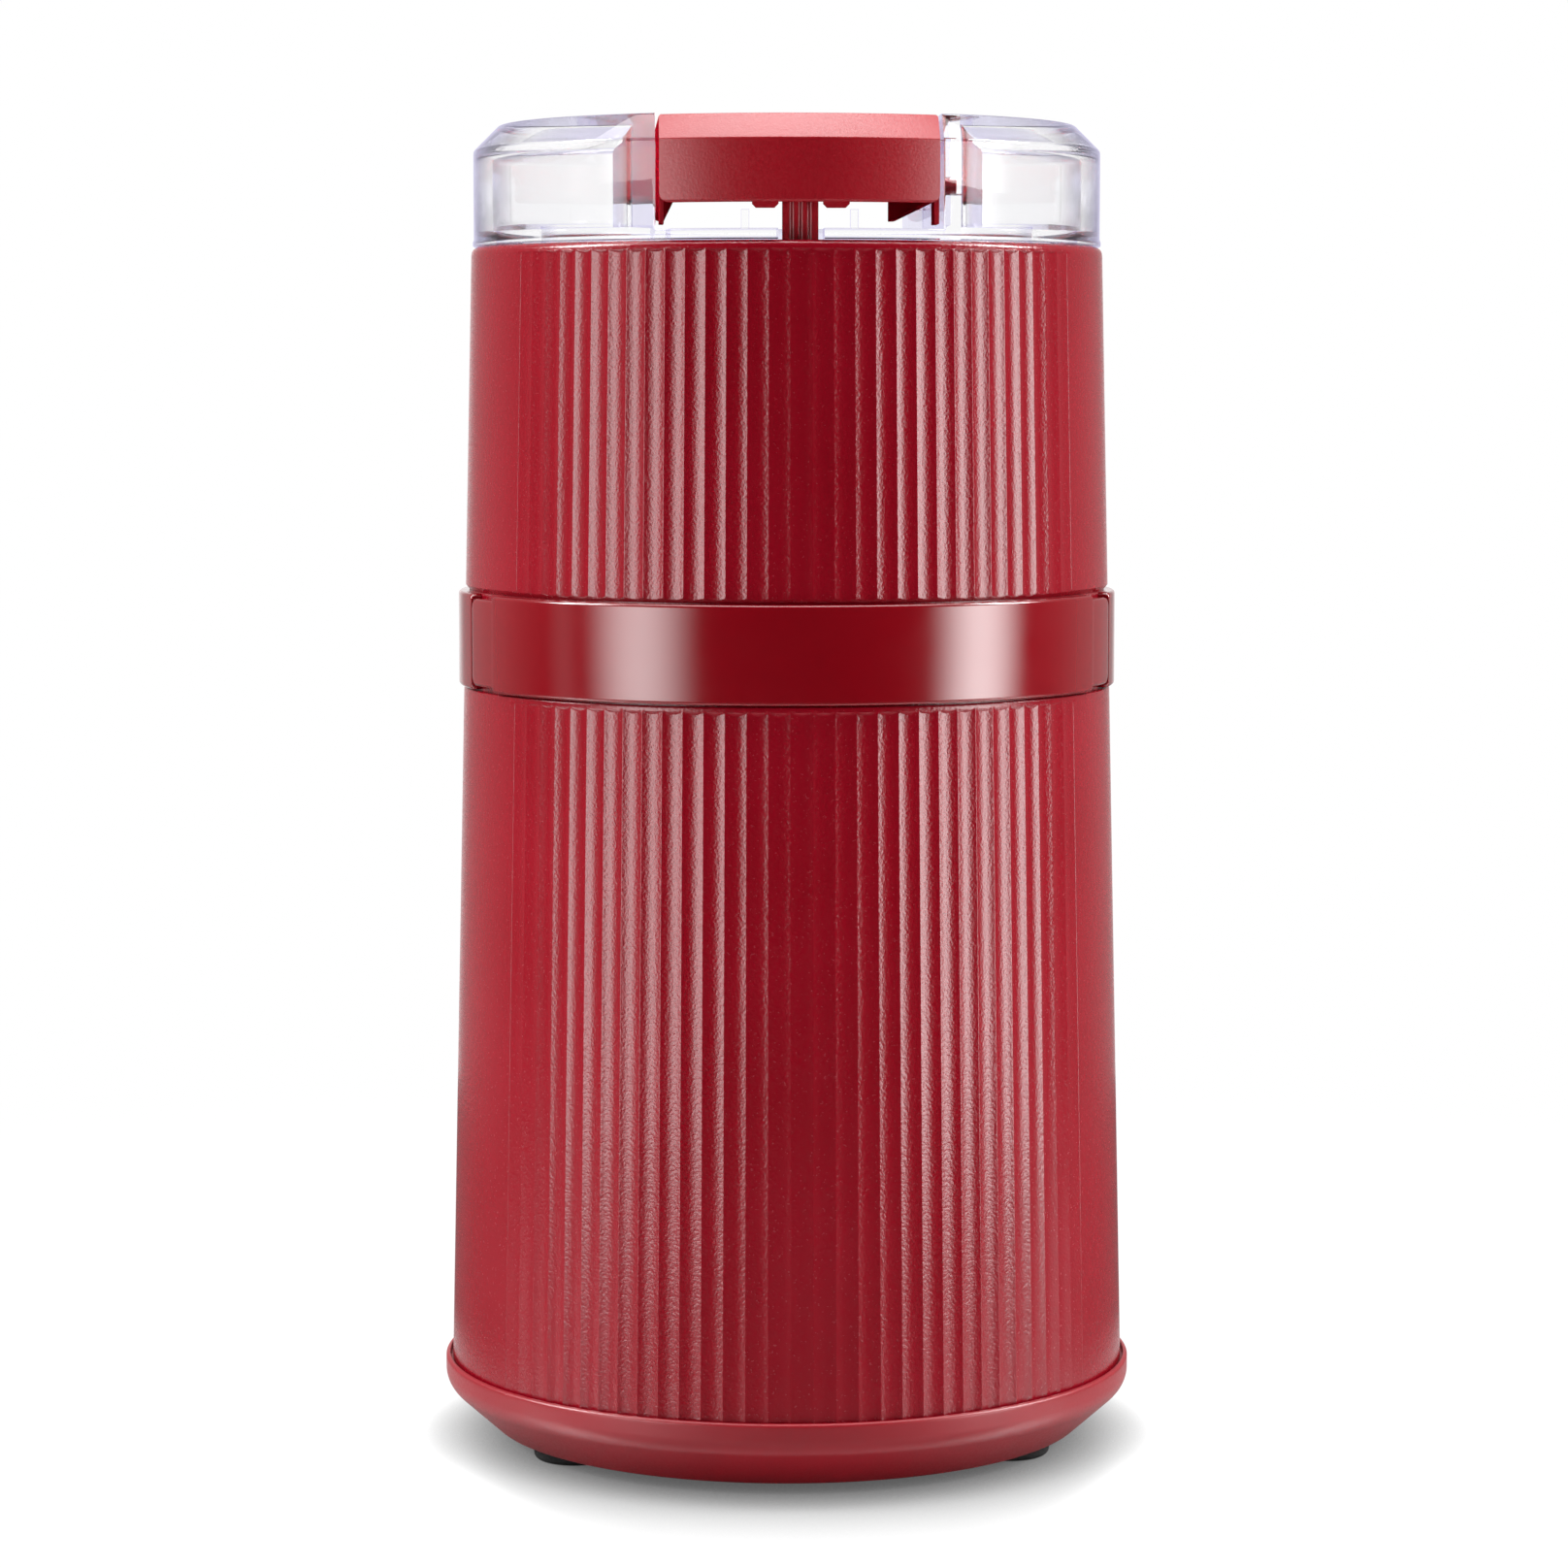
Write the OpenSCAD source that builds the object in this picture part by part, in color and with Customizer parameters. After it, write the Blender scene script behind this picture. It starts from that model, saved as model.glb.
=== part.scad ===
// Electric spice grinder with a clear lift-off lid and a press bar across it.
// Millimetres. The origin is the middle of the plane the feet stand on, +Z is up,
// and the front of the grinder, with the switch rod, faces -Y.

/* [Body] */
// Height of the housing rim above the table
rim_z = 166; // [160:0.5:172]
// Radius of the housing at its rim
rim_r = 43.6; // [43:0.1:44.5]
// Radius gained for each millimetre further down, the draft of the mould
draft = 0.0228; // [0.02:0.0005:0.025]
// Thickness of the moulded housing walls
wall_t = 2.2; // [1.8:0.1:2.4]
// Height of the joint between the lower and the upper housing
joint_z = 112; // [111.5:0.1:112.5]

/* [Flutes] */
// Angle from one flute to the next
flute_pitch = 3.65; // [3.6:0.01:3.8]
// Number of flutes on each side of the front one
flutes_aside = 15; // [0:1:16]
// Depth of a full flute
flute_depth = 0.42; // [0.2:0.01:0.5]
// Width of a flute
flute_w = 2.6; // [2:0.05:2.7]

/* [Waist band] */
// Bottom of the band
band_z0 = 105.8; // [105.7:0.1:106.2]
// Top of the band
band_z1 = 118.9; // [118.4:0.1:119]
// Outer radius of the band
band_r = 45.65; // [45.3:0.05:46]
// Half of the angle that the front plate covers
band_front_half = 72.5; // [60:0.5:80]

/* [Base] */
// Widest radius of the base cover
base_r = 48.1; // [48:0.1:49]
// Radius of the flat underside of the base cover
base_floor_r = 42; // [40:0.5:43]
// Height of a rubber foot
foot_h = 2; // [1.5:0.1:3]
// Distance of the feet from the middle
foot_ring_r = 34.4; // [33:0.1:35]
// Bore of the cord inlet
cord_bore_d = 6.8; // [5:0.1:7.4]

/* [Lid] */
// Height of the top of the lid
lid_top_z = 182.6; // [180:0.1:185]
// Outer radius of the lid
lid_r = 43.25; // [43:0.05:43.5]
// Slope of the lid's edge, as high as it is wide
lid_edge = 3.5; // [2:0.1:5]
// Thickness of the clear lid walls
lid_t = 2.2; // [1.8:0.1:2.6]
// Half of the width of the channel that the press bar lies in
channel_half = 18.75; // [18.6:0.05:19.5]

/* [Press bar] */
// Half of the width of the bar
bar_half = 18.25; // [17:0.05:18.3]
// Height of the lower edge of the bar
bar_z0 = 170.9; // [170:0.1:172]
// Width of the rod that reaches down from the bar to the switch
rod_w = 4.6; // [4:0.1:5]

/* [Grinding bowl and blade] */
// Inner radius of the steel bowl
bowl_r = 35.9; // [35:0.1:36]
// Height of the bowl's floor inside
bowl_floor_z = 124; // [123.5:0.1:124.5]
// Tip radius of the blade
blade_r = 29; // [24:0.5:31]

/* [Motor] */
// Diameter of the motor shaft
shaft_d = 6; // [5:0.1:6.4]
// Radial play of the shaft in its bushes
shaft_play = 0.05; // [0.02:0.01:0.09]
// Length of the laminated core
core_l = 24; // [20:1:26]

/* [Hidden] */
$fn = 96;
eps = 0.01;
red = [0.62, 0.10, 0.14];
deep_red = [0.45, 0.04, 0.09];
clear = [0.85, 0.88, 0.96, 0.35];
steel = [0.78, 0.79, 0.80];
brass = [0.80, 0.65, 0.30];
copper = [0.72, 0.38, 0.18];
rubber = [0.08, 0.08, 0.09];
nylon = [0.90, 0.88, 0.82];
iron = [0.42, 0.43, 0.45];
carbon = [0.18, 0.18, 0.19];

// Heights inside, from the table up
seat_z = 10.9;                 // where the lower housing stands on the base cover
lip_z = 11.6;                  // top of the base cover's lip
floor_t = 2.4;                 // thickness of the base floor
base_top_z = foot_h + floor_t; // top of the base floor
bevel_z = 8.9;                 // where the base's slope meets its upright edge
neck_r = 44.1;                 // radius of both housings behind the band
neck_z0 = 105.6;               // top of the lower housing's outer cone
neck_z1 = 119;                 // foot of the upper housing's outer chamfer
neck_inner_r = 42;
flange_r = 37;                 // inner radius of the lower housing's top flange
flange_t = 3;
bulkhead_t = 3;
bulkhead_z = joint_z + bulkhead_t;
deck_z = rim_z - 2;            // ledge inside the rim that carries the bowl
deck_t = 2.2;
rim_inner_r = 41.8;
play = 0.05;                   // clearance of screws and pins in their holes
shaft_fit = 0.02;              // gap that the parts pressed on the shaft are drawn with

// Fasteners: ring radii and their angles, counted from the front
base_screw_ring_r = 36;
base_screw_angles = [0, 120, 240];
housing_screw_ring_r = 39.3;
housing_screw_angles = [60, 180, 300];
foot_angles = [60, 180, 300];
m3_r = 1.5;
m3_head_r = 2.4;
m4_r = 2;
m4_head_r = 3.6;

// Switch, its plunger and the hole above them
rod_y0 = -41.3;                // front face of the rod
rod_y1 = -38.9;                // rear face of the rod
rod_foot_z = 164;              // lower end of the bar's rod
rod_gap = 0.3;                 // gap between the rod and the plunger
plunger_foot_z = 104;
plunger_foot_h = 3;
pushrod_r = 1.5;
pushrod_y = -36;
switch_top_z = 97;
switch_h = 13;
switch_half = 9.9;
switch_y0 = -40.4;
switch_y1 = -32.4;
switch_screw_x = 7;
switch_screw_z = 90.5;
switch_screw_r = 1.2;

// Motor stack
core_z = 56;
core_w = 64;
core_d = 52;
bore_r = 16.3;
rotor_r = 15.8;
bush_r = 7;
bush_l = 8;
lower_bush_z = 20.5;
upper_bush_z = 99.5;
boss_r = 10;
lower_plate_z = 24;
upper_plate_z = 100;
plate_t = 2.5;
tie_x = 28.5;                  // distance of the tie screws from the middle
hang_y = 28;                   // distance of the hanging screws from the middle
spacer_r = 3.5;
brush_z = 38;
commutator_r = 9.5;
shaft_z0 = 20;
thread_z = 131;                // where the shaft is turned down for the blade nut
thread_r = 2.5;
shaft_top_z = 136;

// Press bar hinge
pivot_y = 34;
pivot_z = 174;
pivot_r = 1.5;

// Cord inlet
gland_z = 24;
gland_pad_r = 9.5;
gland_pad_y = 47.3;
gland_r = 6;

function body_r(z) = rim_r + (rim_z - z) * draft;
function arc(cx, cz, r, a0, a1, n = 6) =
  [for (i = [0 : n]) let (a = a0 + (a1 - a0) * i / n) [cx + r * cos(a), cz + r * sin(a)]];

// A copy at each angle of a ring, angles counted from the front
module on_ring(r, angles) {
  for (a = angles) rotate([0, 0, a]) translate([0, -r, 0]) children();
}

// A box given by its lowest and highest corner
module span_box(lo, hi) {
  translate(lo) cube(hi - lo);
}

// A cylinder between two heights
module drum(r, z0, z1) {
  translate([0, 0, z0]) cylinder(r = r, h = z1 - z0);
}

// A ring between two heights
module ring(r_in, r_out, z0, z1) {
  difference() {
    drum(r_out, z0, z1);
    drum(r_in, z0 - 1, z1 + 1);
  }
}

// One flute cutter: a shallow hollow profile laid along the drafted wall
module flute_cutter(angle, depth, z0, z1) {
  lean = atan(draft);
  steps = 3;
  hollow = [for (i = [-steps : steps])
    let (t = i / steps) [t * flute_w / 2, depth * (1 - t * t)]];
  rotate([0, 0, angle]) translate([0, -body_r(z0), z0]) rotate([-lean, 0, 0])
    linear_extrude((z1 - z0) / cos(lean))
      polygon(concat(hollow, [[flute_w / 2 + 0.02, -0.4], [-flute_w / 2 - 0.02, -0.4]]));
}

// The flutes of the front and of the back, fading out towards the sides, each
// running out upwards on a short slope below z1
module flute_cutters(z0, z1) {
  fade_from = 44;
  fade_over = 15;
  slope_l = 1.6;
  edge_r = body_r(z1);
  difference() {
    for (side = [0, 180], k = [-flutes_aside : flutes_aside]) {
      angle = k * flute_pitch;
      share = min(1, max(0.15, (fade_from + fade_over - abs(angle)) / fade_over));
      flute_cutter(side + angle, flute_depth * share, z0, z1 + 1.2);
    }
    rotate_extrude($fn = 180) polygon([[edge_r - 1, z1 - slope_l], [edge_r + 1, z1 + slope_l],
      [edge_r + 1, z1 + 3], [edge_r - 1, z1 + 3]]);
  }
}

// ---- base ----

module base_cover() {
  rib_t = 1.8;
  vent_w = 2.4;
  color(red) difference() {
    union() {
      rotate_extrude($fn = 180) polygon(concat(
        [[0, foot_h], [base_floor_r - 0.6, foot_h], [base_floor_r, foot_h + 0.3],
         [base_r - 0.2, bevel_z - 0.3], [base_r, bevel_z]],
        arc(base_r - 0.5, lip_z - 0.5, 0.5, 0, 90, 4),
        [[body_r(lip_z) + 0.35, lip_z], [body_r(lip_z) + 0.35, seat_z],
         [body_r(seat_z) - wall_t - 0.4, seat_z], [body_r(seat_z) - wall_t - 0.4, bevel_z],
         [base_floor_r - 1.6, base_top_z], [0, base_top_z]]));
      drum(12, base_top_z, 14);
      on_ring(base_screw_ring_r, base_screw_angles) drum(5.2, base_top_z - eps, seat_z);
      for (a = [30 : 60 : 330])
        rotate([0, 0, a]) translate([-rib_t / 2, 11, base_top_z - eps]) cube([rib_t, 28, 3]);
    }
    on_ring(base_screw_ring_r, base_screw_angles) {
      drum(3.4, foot_h - 1, 6.5);
      drum(m3_r + 0.15, 6, seat_z + 1);
    }
    on_ring(foot_ring_r, foot_angles) drum(2.5 + play, foot_h - 1, base_top_z + 1);
    for (a = [0 : 12 : 348])
      if (a % 60 > 12)
        rotate([0, 0, a]) span_box([-vent_w / 2, 16, foot_h - 1], [vent_w / 2, 27, base_top_z + 1]);
  }
}

module feet() {
  color(rubber) on_ring(foot_ring_r, foot_angles) {
    rotate_extrude($fn = 64) polygon([[0, 0], [5, 0], [5.8, 0.7], [5.8, foot_h], [0, foot_h]]);
    drum(2.5, foot_h - eps, base_top_z + 1);
    translate([0, 0, base_top_z]) cylinder(r1 = 3.2, r2 = 2.2, h = 1.8);
  }
}

module base_screws() {
  head_h = 2.3;
  color(steel) on_ring(base_screw_ring_r, base_screw_angles) difference() {
    union() {
      drum(3.1, 6.5 - head_h, 6.5);
      drum(m3_r, 6.5 - eps, 22);
    }
    for (a = [0, 90]) rotate([0, 0, a])
      span_box([-1.7, -0.4, 6.5 - head_h - 1], [1.7, 0.4, 6.5 - head_h + 1.2]);
  }
}

// ---- housings ----

module lower_housing() {
  rib_t = 2;
  color(red) difference() {
    union() {
      rotate_extrude($fn = 180) polygon([
        [body_r(seat_z), seat_z], [body_r(neck_z0 - 0.4), neck_z0 - 0.4],
        [body_r(neck_z0) - 0.4, neck_z0], [neck_r, neck_z0], [neck_r, joint_z],
        [flange_r, joint_z], [flange_r, joint_z - flange_t],
        [neck_inner_r, joint_z - flange_t], [neck_inner_r, neck_z0],
        [body_r(neck_z0) - wall_t - 0.2, neck_z0 - 3], [body_r(seat_z) - wall_t, seat_z]]);
      on_ring(base_screw_ring_r, base_screw_angles) {
        drum(4, seat_z, 30);
        span_box([-rib_t / 2, -10, seat_z + 1], [rib_t / 2, -3, 30]);
      }
      for (x = [-switch_screw_x, switch_screw_x])
        span_box([x - 2.2, -44, 86], [x + 2.2, switch_y0, 95]);
      intersection() {
        translate([0, 0, gland_z]) rotate([-90, 0, 0]) cylinder(r = gland_pad_r, h = gland_pad_y);
        ring(body_r(gland_z) - wall_t, base_r, gland_z - 10, gland_z + 10);
      }
    }
    difference() {
      flute_cutters(seat_z - 1, neck_z0 - 0.7);
      translate([0, 40, gland_z]) rotate([-90, 0, 0]) cylinder(r = gland_pad_r + 0.6, h = 12);
    }
    on_ring(base_screw_ring_r, base_screw_angles) drum(m3_r + play, seat_z - 1, 23);
    on_ring(housing_screw_ring_r, housing_screw_angles)
      drum(m3_r + play, joint_z - flange_t - 1, joint_z + 1);
    rod_hole(joint_z - flange_t - 1, joint_z + 1);
    for (x = [-switch_screw_x, switch_screw_x])
      translate([x, -43.2, switch_screw_z]) rotate([-90, 0, 0])
        cylinder(r = switch_screw_r + play, h = 6);
    translate([0, 40, gland_z]) rotate([-90, 0, 0]) cylinder(r = gland_r, h = 12);
  }
}

// The hole that the switch rod and the plunger pass through
module rod_hole(z0, z1) {
  span_box([-rod_w / 2 - 0.3, rod_y0 - 0.35, z0], [rod_w / 2 + 0.3, rod_y1 + 0.6, z1]);
}

module cord_gland() {
  color(rubber) translate([0, 0, gland_z]) rotate([-90, 0, 0]) difference() {
    union() {
      translate([0, 0, 40.5]) cylinder(r = gland_r + 1.6, h = 3.2);
      translate([0, 0, 40.5]) cylinder(r = gland_r - play, h = 7);
      translate([0, 0, gland_pad_y]) cylinder(r1 = gland_r + 1.8, r2 = gland_r + 1.2, h = 0.7);
    }
    translate([0, 0, 30]) cylinder(d = cord_bore_d, h = 30);
  }
}

module upper_housing() {
  wall_foot_r = body_r(bulkhead_z) - wall_t;
  color(red) difference() {
    union() {
      rotate_extrude($fn = 180) polygon(concat(
        [[8, joint_z], [neck_r, joint_z], [neck_r, neck_z1], [body_r(neck_z1 + 0.7), neck_z1 + 0.7]],
        arc(rim_r - 1, rim_z - 1, 1, 0, 90, 5),
        [[rim_inner_r, rim_z], [rim_inner_r, deck_z], [bowl_r + 1.1, deck_z],
         [bowl_r + 1.1, deck_z - deck_t], [rim_inner_r - 0.3, deck_z - deck_t],
         [wall_foot_r, bulkhead_z], [8, bulkhead_z]]));
      ring(6.2, 11, joint_z, bowl_floor_z - 2.3);
      on_ring(housing_screw_ring_r, housing_screw_angles) drum(3, bulkhead_z - eps, 122);
      for (y = [-hang_y, hang_y]) translate([0, y, 0]) drum(4.5, bulkhead_z - eps, 119);
      for (a = [30 : 60 : 330]) rotate([0, 0, a])
        span_box([-0.9, -body_r(bulkhead_z) + 1, bulkhead_z - eps], [0.9, -10, 119]);
    }
    flute_cutters(neck_z1 - 0.5, rim_z - 1.2);
    on_ring(housing_screw_ring_r, housing_screw_angles) drum(m3_r + play, joint_z - 1, 121);
    for (y = [-hang_y, hang_y]) translate([0, y, 0]) drum(m4_r + play, joint_z - 1, 118);
    drum(6.2, joint_z - 1, bulkhead_z + 1);
    rod_hole(joint_z - 1, bulkhead_z + 1);
    rod_hole(deck_z - deck_t - 1, deck_z + 1);
  }
}

module housing_screws() {
  head_z = joint_z - flange_t;
  color(steel) on_ring(housing_screw_ring_r, housing_screw_angles) {
    drum(m3_head_r, head_z - 1.9, head_z);
    drum(m3_r, head_z - eps, 120.5);
  }
}

// ---- waist band: a front plate and a rear part that clip round the neck ----

module band_sector(half_angle, facing) {
  round_r = 0.55;
  rotate([0, 0, facing - half_angle]) rotate_extrude(angle = 2 * half_angle, $fn = 180)
    polygon(concat(
      [[neck_r + play, band_z0]],
      arc(band_r - round_r, band_z0 + round_r, round_r, -90, 0, 4),
      arc(band_r - round_r, band_z1 - round_r, round_r, 0, 90, 4),
      [[neck_r + play, band_z1]]));
}

// Both ends of the front plate are stepped, a little lower than its middle
module waist_band_front() {
  step_h = 0.6;
  step_span = 10;
  color(deep_red) difference() {
    band_sector(band_front_half - 0.25, -90);
    for (s = [-1, 1], z = [band_z0, band_z1])
      rotate([0, 0, s * band_front_half - step_span - 90]) rotate_extrude(angle = 2 * step_span, $fn = 180)
        translate([neck_r - 1, z - step_h]) square([3, 2 * step_h]);
  }
}

module waist_band_rear() {
  color(deep_red) band_sector(180 - band_front_half - 0.25, 90);
}

// ---- bowl ----

module bowl() {
  sheet = 0.8;
  corner_r = 8;
  collar_r = 6.5;
  out_r = bowl_r + sheet;
  color(steel) rotate_extrude($fn = 180) polygon(concat(
    [[bowl_r, deck_z + 1.4]],
    arc(bowl_r - corner_r, bowl_floor_z + corner_r, corner_r, 0, -90, 8),
    [[collar_r + sheet, bowl_floor_z], [collar_r + sheet, bowl_floor_z + 3],
     [collar_r, bowl_floor_z + 3], [collar_r, bowl_floor_z - sheet]],
    arc(bowl_r - corner_r, bowl_floor_z + corner_r, corner_r + sheet, -90, 0, 8),
    [[out_r, deck_z + 0.6], [bowl_r + 2, deck_z + 0.6], [bowl_r + 2, deck_z + 1.4]]));
}

module bowl_gasket() {
  color(nylon) ring(bowl_r + 0.9, bowl_r + 2, deck_z, deck_z + 0.6);
}

module shaft_seal() {
  color(rubber) rotate_extrude($fn = 96) polygon([
    [3.3, bowl_floor_z - 2.3], [9.5, bowl_floor_z - 2.3], [9.5, bowl_floor_z - 0.8],
    [6.45, bowl_floor_z - 0.8], [6.45, bowl_floor_z + 3], [5.6, bowl_floor_z + 3.5],
    [3.3, bowl_floor_z + 3.5]]);
}

// ---- motor frame ----

// A bush carried in the boss of a bracket
module bush(z0, z1) {
  color(brass) difference() {
    drum(bush_r, z0, z1);
    drum(shaft_d / 2 + shaft_play, z0 - 1, z1 + 1);
  }
}

module lower_bush() { bush(lower_bush_z, lower_bush_z + bush_l); }

module upper_bush() { bush(upper_bush_z, upper_bush_z + bush_l); }

module lower_bracket() {
  arm_w = 24;
  color(steel) difference() {
    union() {
      intersection() {
        span_box([-34, -arm_w / 2, lower_plate_z], [34, arm_w / 2, lower_plate_z + plate_t]);
        drum(34, lower_plate_z - 1, lower_plate_z + plate_t + 1);
      }
      drum(boss_r, 19, 30);
      for (s = [-1, 1])
        span_box([s * 17 - 4, -3.5, lower_plate_z], [s * 17 + 4, 3.5, brush_z - 3.5]);
    }
    drum(bush_r + play, lower_bush_z, 31);
    drum(4.5, 18, 22);
    for (x = [-tie_x, tie_x]) translate([x, 0, 0]) drum(m4_r + play, 20, 40);
  }
}

module upper_bracket() {
  color(steel) difference() {
    union() {
      drum(33, upper_plate_z, upper_plate_z + plate_t);
      drum(boss_r, 98, 108);
    }
    drum(bush_r + play, upper_bush_z, 109);
    drum(4.5, 97, 101);
    for (x = [-tie_x, tie_x]) translate([x, 0, 0]) drum(m4_r + play, 97, 109);
    for (y = [-hang_y, hang_y]) translate([0, y, 0]) drum(m4_r + play, 97, 109);
    for (a = [45 : 90 : 315]) rotate([0, 0, a]) translate([20.5, 0, 97]) cylinder(r = 6.5, h = 12);
  }
}

module bracket_screws() {
  color(steel) for (y = [-hang_y, hang_y]) translate([0, y, 0]) {
    drum(m4_head_r, upper_plate_z - 2.8, upper_plate_z);
    drum(m4_r, upper_plate_z - eps, 117.5);
  }
}

module bracket_dampers() {
  color(rubber) for (y = [-hang_y, hang_y]) translate([0, y, 0])
    rotate_extrude($fn = 48) polygon([
      [m4_r + play, upper_plate_z + plate_t], [4.8, upper_plate_z + plate_t],
      [4.0, (upper_plate_z + plate_t + joint_z) / 2], [4.8, joint_z], [m4_r + play, joint_z]]);
}

module motor_cushion() {
  color(rubber) difference() {
    drum(12, 14, 19);
    drum(4, 13, 20);
    for (a = [0 : 45 : 315]) rotate([0, 0, a]) translate([8, 0, 13]) cylinder(r = 1.4, h = 7, $fn = 24);
  }
}

module stator_core() {
  color(iron) difference() {
    span_box([-core_w / 2, -core_d / 2, core_z], [core_w / 2, core_d / 2, core_z + core_l]);
    drum(bore_r, core_z - 1, core_z + core_l + 1);
    for (side = [0, 180]) rotate([0, 0, side]) coil_space(0.3);
    for (x = [-tie_x, tie_x]) translate([x, 0, 0]) drum(m4_r + play, core_z - 1, core_z + core_l + 1);
    for (sx = [-1, 1], sy = [-1, 1])
      translate([sx * core_w / 2, sy * core_d / 2, core_z - 1]) rotate([0, 0, 45])
        cube([12, 12, 2 * core_l + 4], center = true);
  }
}

// The two slots that one field coil lies in, either side of a pole that faces -Y
module coil_space(extra) {
  for (a = [-136, -58]) rotate([0, 0, a])
    translate([0, 0, core_z - 1]) rotate_extrude(angle = 14, $fn = 96)
      translate([bore_r + 1.2 - extra, 0]) square([6.2 + 2 * extra, core_l + 2]);
}

module field_coils() {
  coil_r0 = bore_r + 1.2;
  coil_r1 = bore_r + 7.4;
  color(copper) for (side = [0, 180]) rotate([0, 0, side]) rotate([0, 0, -135]) difference() {
    rotate_extrude(angle = 90, $fn = 96)
      translate([coil_r0, core_z - 6]) square([coil_r1 - coil_r0, core_l + 12]);
    rotate([0, 0, 11]) rotate_extrude(angle = 68, $fn = 96)
      translate([coil_r0 - 1, core_z - 0.3]) square([coil_r1 - coil_r0 + 2, core_l + 0.6]);
  }
}

module motor_spacers() {
  gaps = [[lower_plate_z + plate_t, core_z], [core_z + core_l, upper_plate_z]];
  color(steel) for (x = [-tie_x, tie_x], gap = gaps) translate([x, 0, 0])
    ring(m4_r + play, spacer_r, gap[0], gap[1]);
}

module motor_screws() {
  color(steel) for (x = [-tie_x, tie_x]) translate([x, 0, 0]) {
    drum(m4_head_r, lower_plate_z - 2.8, lower_plate_z);
    drum(m4_r, lower_plate_z - eps, 106.5);
  }
}

module motor_nuts() {
  color(steel) for (x = [-tie_x, tie_x]) translate([x, 0, upper_plate_z + plate_t]) difference() {
    cylinder(r = 4, h = 3.2, $fn = 6);
    translate([0, 0, -1]) cylinder(r = m4_r + play, h = 6);
  }
}

// ---- brushes ----

module brush_holders() {
  color(brass) for (s = [0, 180]) rotate([0, 0, s]) difference() {
    span_box([11.5, -3.5, brush_z - 3.5], [24.2, 3.5, brush_z + 3.5]);
    span_box([10, -2.6, brush_z - 2.6], [23.4, 2.6, brush_z + 2.6]);
  }
}

module carbon_brushes() {
  color(carbon) for (s = [0, 180]) rotate([0, 0, s]) difference() {
    span_box([commutator_r - 0.6, -2.5, brush_z - 2.5], [19.5, 2.5, brush_z + 2.5]);
    drum(commutator_r + 0.3, brush_z - 5, brush_z + 5);
  }
}

module brush_springs() {
  color(steel) for (s = [0, 180]) rotate([0, 0, s]) translate([19.5, 0, brush_z])
    rotate([0, 90, 0]) difference() {
      cylinder(r = 2.2, h = 3.9, $fn = 32);
      translate([0, 0, -1]) cylinder(r = 1.5, h = 6, $fn = 32);
    }
}

// ---- rotor ----

module motor_shaft() {
  color(steel) {
    drum(shaft_d / 2, shaft_z0, thread_z);
    drum(thread_r, thread_z - eps, shaft_top_z);
  }
}

module rotor_core() {
  slots = 12;
  color(iron) difference() {
    ring(shaft_d / 2 + shaft_fit, rotor_r, core_z, core_z + core_l);
    for (i = [0 : slots - 1]) rotate([0, 0, i * 360 / slots]) {
      span_box([13.5, -0.9, core_z - 1], [17, 0.9, core_z + core_l + 1]);
      translate([11.5, 0, core_z - 1]) cylinder(r = 2.3, h = core_l + 2, $fn = 24);
    }
  }
}

module rotor_windings() {
  slots = 12;
  color(copper) {
    for (z = [core_z - 6.5, core_z + core_l])
      difference() {
        drum(14, z, z + 6.5);
        drum(5, z - 1, z + 8);
      }
    for (i = [0 : slots - 1]) rotate([0, 0, i * 360 / slots]) translate([11.5, 0, 0])
      drum(1.9, core_z - 1, core_z + core_l + 1);
  }
}

module commutator() {
  bars = 24;
  color(copper) difference() {
    ring(shaft_d / 2 + shaft_fit, commutator_r, brush_z - 6, brush_z + 6);
    for (i = [0 : bars - 1]) rotate([0, 0, i * 360 / bars])
      span_box([commutator_r - 1.2, -0.2, brush_z - 7], [commutator_r + 1, 0.2, brush_z + 7]);
  }
}

module cooling_fan() {
  blades = 10;
  fan_z = 88.5;
  color(nylon) difference() {
    union() {
      drum(7, fan_z, fan_z + 8);
      drum(23.5, fan_z, fan_z + 1.4);
      for (i = [0 : blades - 1]) rotate([0, 0, i * 360 / blades])
        translate([6, -0.6, fan_z]) rotate([0, 0, -14]) cube([17, 1.2, 7]);
    }
    drum(shaft_d / 2 + shaft_fit, fan_z - 1, fan_z + 9);
  }
}

module blade_hub() {
  color(steel) difference() {
    union() {
      drum(4.6, 128, thread_z);
      drum(6, thread_z - 1.2, thread_z);
    }
    drum(shaft_d / 2 + shaft_fit, 127, thread_z + 1);
  }
}

// A two-winged blade: flat arms, a ground edge and tips bent up and down
module blade() {
  sheet = 1.2;
  bend_r = 15;
  tip_l = blade_r - bend_r;
  color(steel) difference() {
    union() {
      drum(6.5, thread_z, thread_z + sheet);
      for (wing = [[0, 20], [180, -9]]) rotate([0, 0, wing[0]]) {
        translate([0, 0, thread_z]) linear_extrude(sheet)
          polygon([[0, -6], [bend_r, -5.2], [bend_r, 5.6], [0, 6]]);
        translate([bend_r - 0.2, 0, thread_z]) rotate([0, -wing[1], 0]) difference() {
          linear_extrude(sheet)
            polygon([[0, -5.2], [tip_l - 3, -4.2], [tip_l, -0.8], [tip_l, 2.6], [tip_l - 4, 6], [0, 5.6]]);
          translate([-1, -5.2, sheet * 0.3]) rotate([40, 0, 3]) translate([0, -6, 0])
            cube([tip_l + 4, 6, 4]);
        }
      }
    }
    drum(thread_r + play, thread_z - 6, thread_z + 6);
  }
}

module blade_nut() {
  color(brass) difference() {
    union() {
      translate([0, 0, thread_z + 1.2]) cylinder(r = 4.6, h = 3, $fn = 6);
      translate([0, 0, thread_z + 4.2]) cylinder(r1 = 3.8, r2 = 2, h = 2);
    }
    drum(thread_r + shaft_fit, thread_z, shaft_top_z + 0.1);
  }
}

// ---- lid ----

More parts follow.
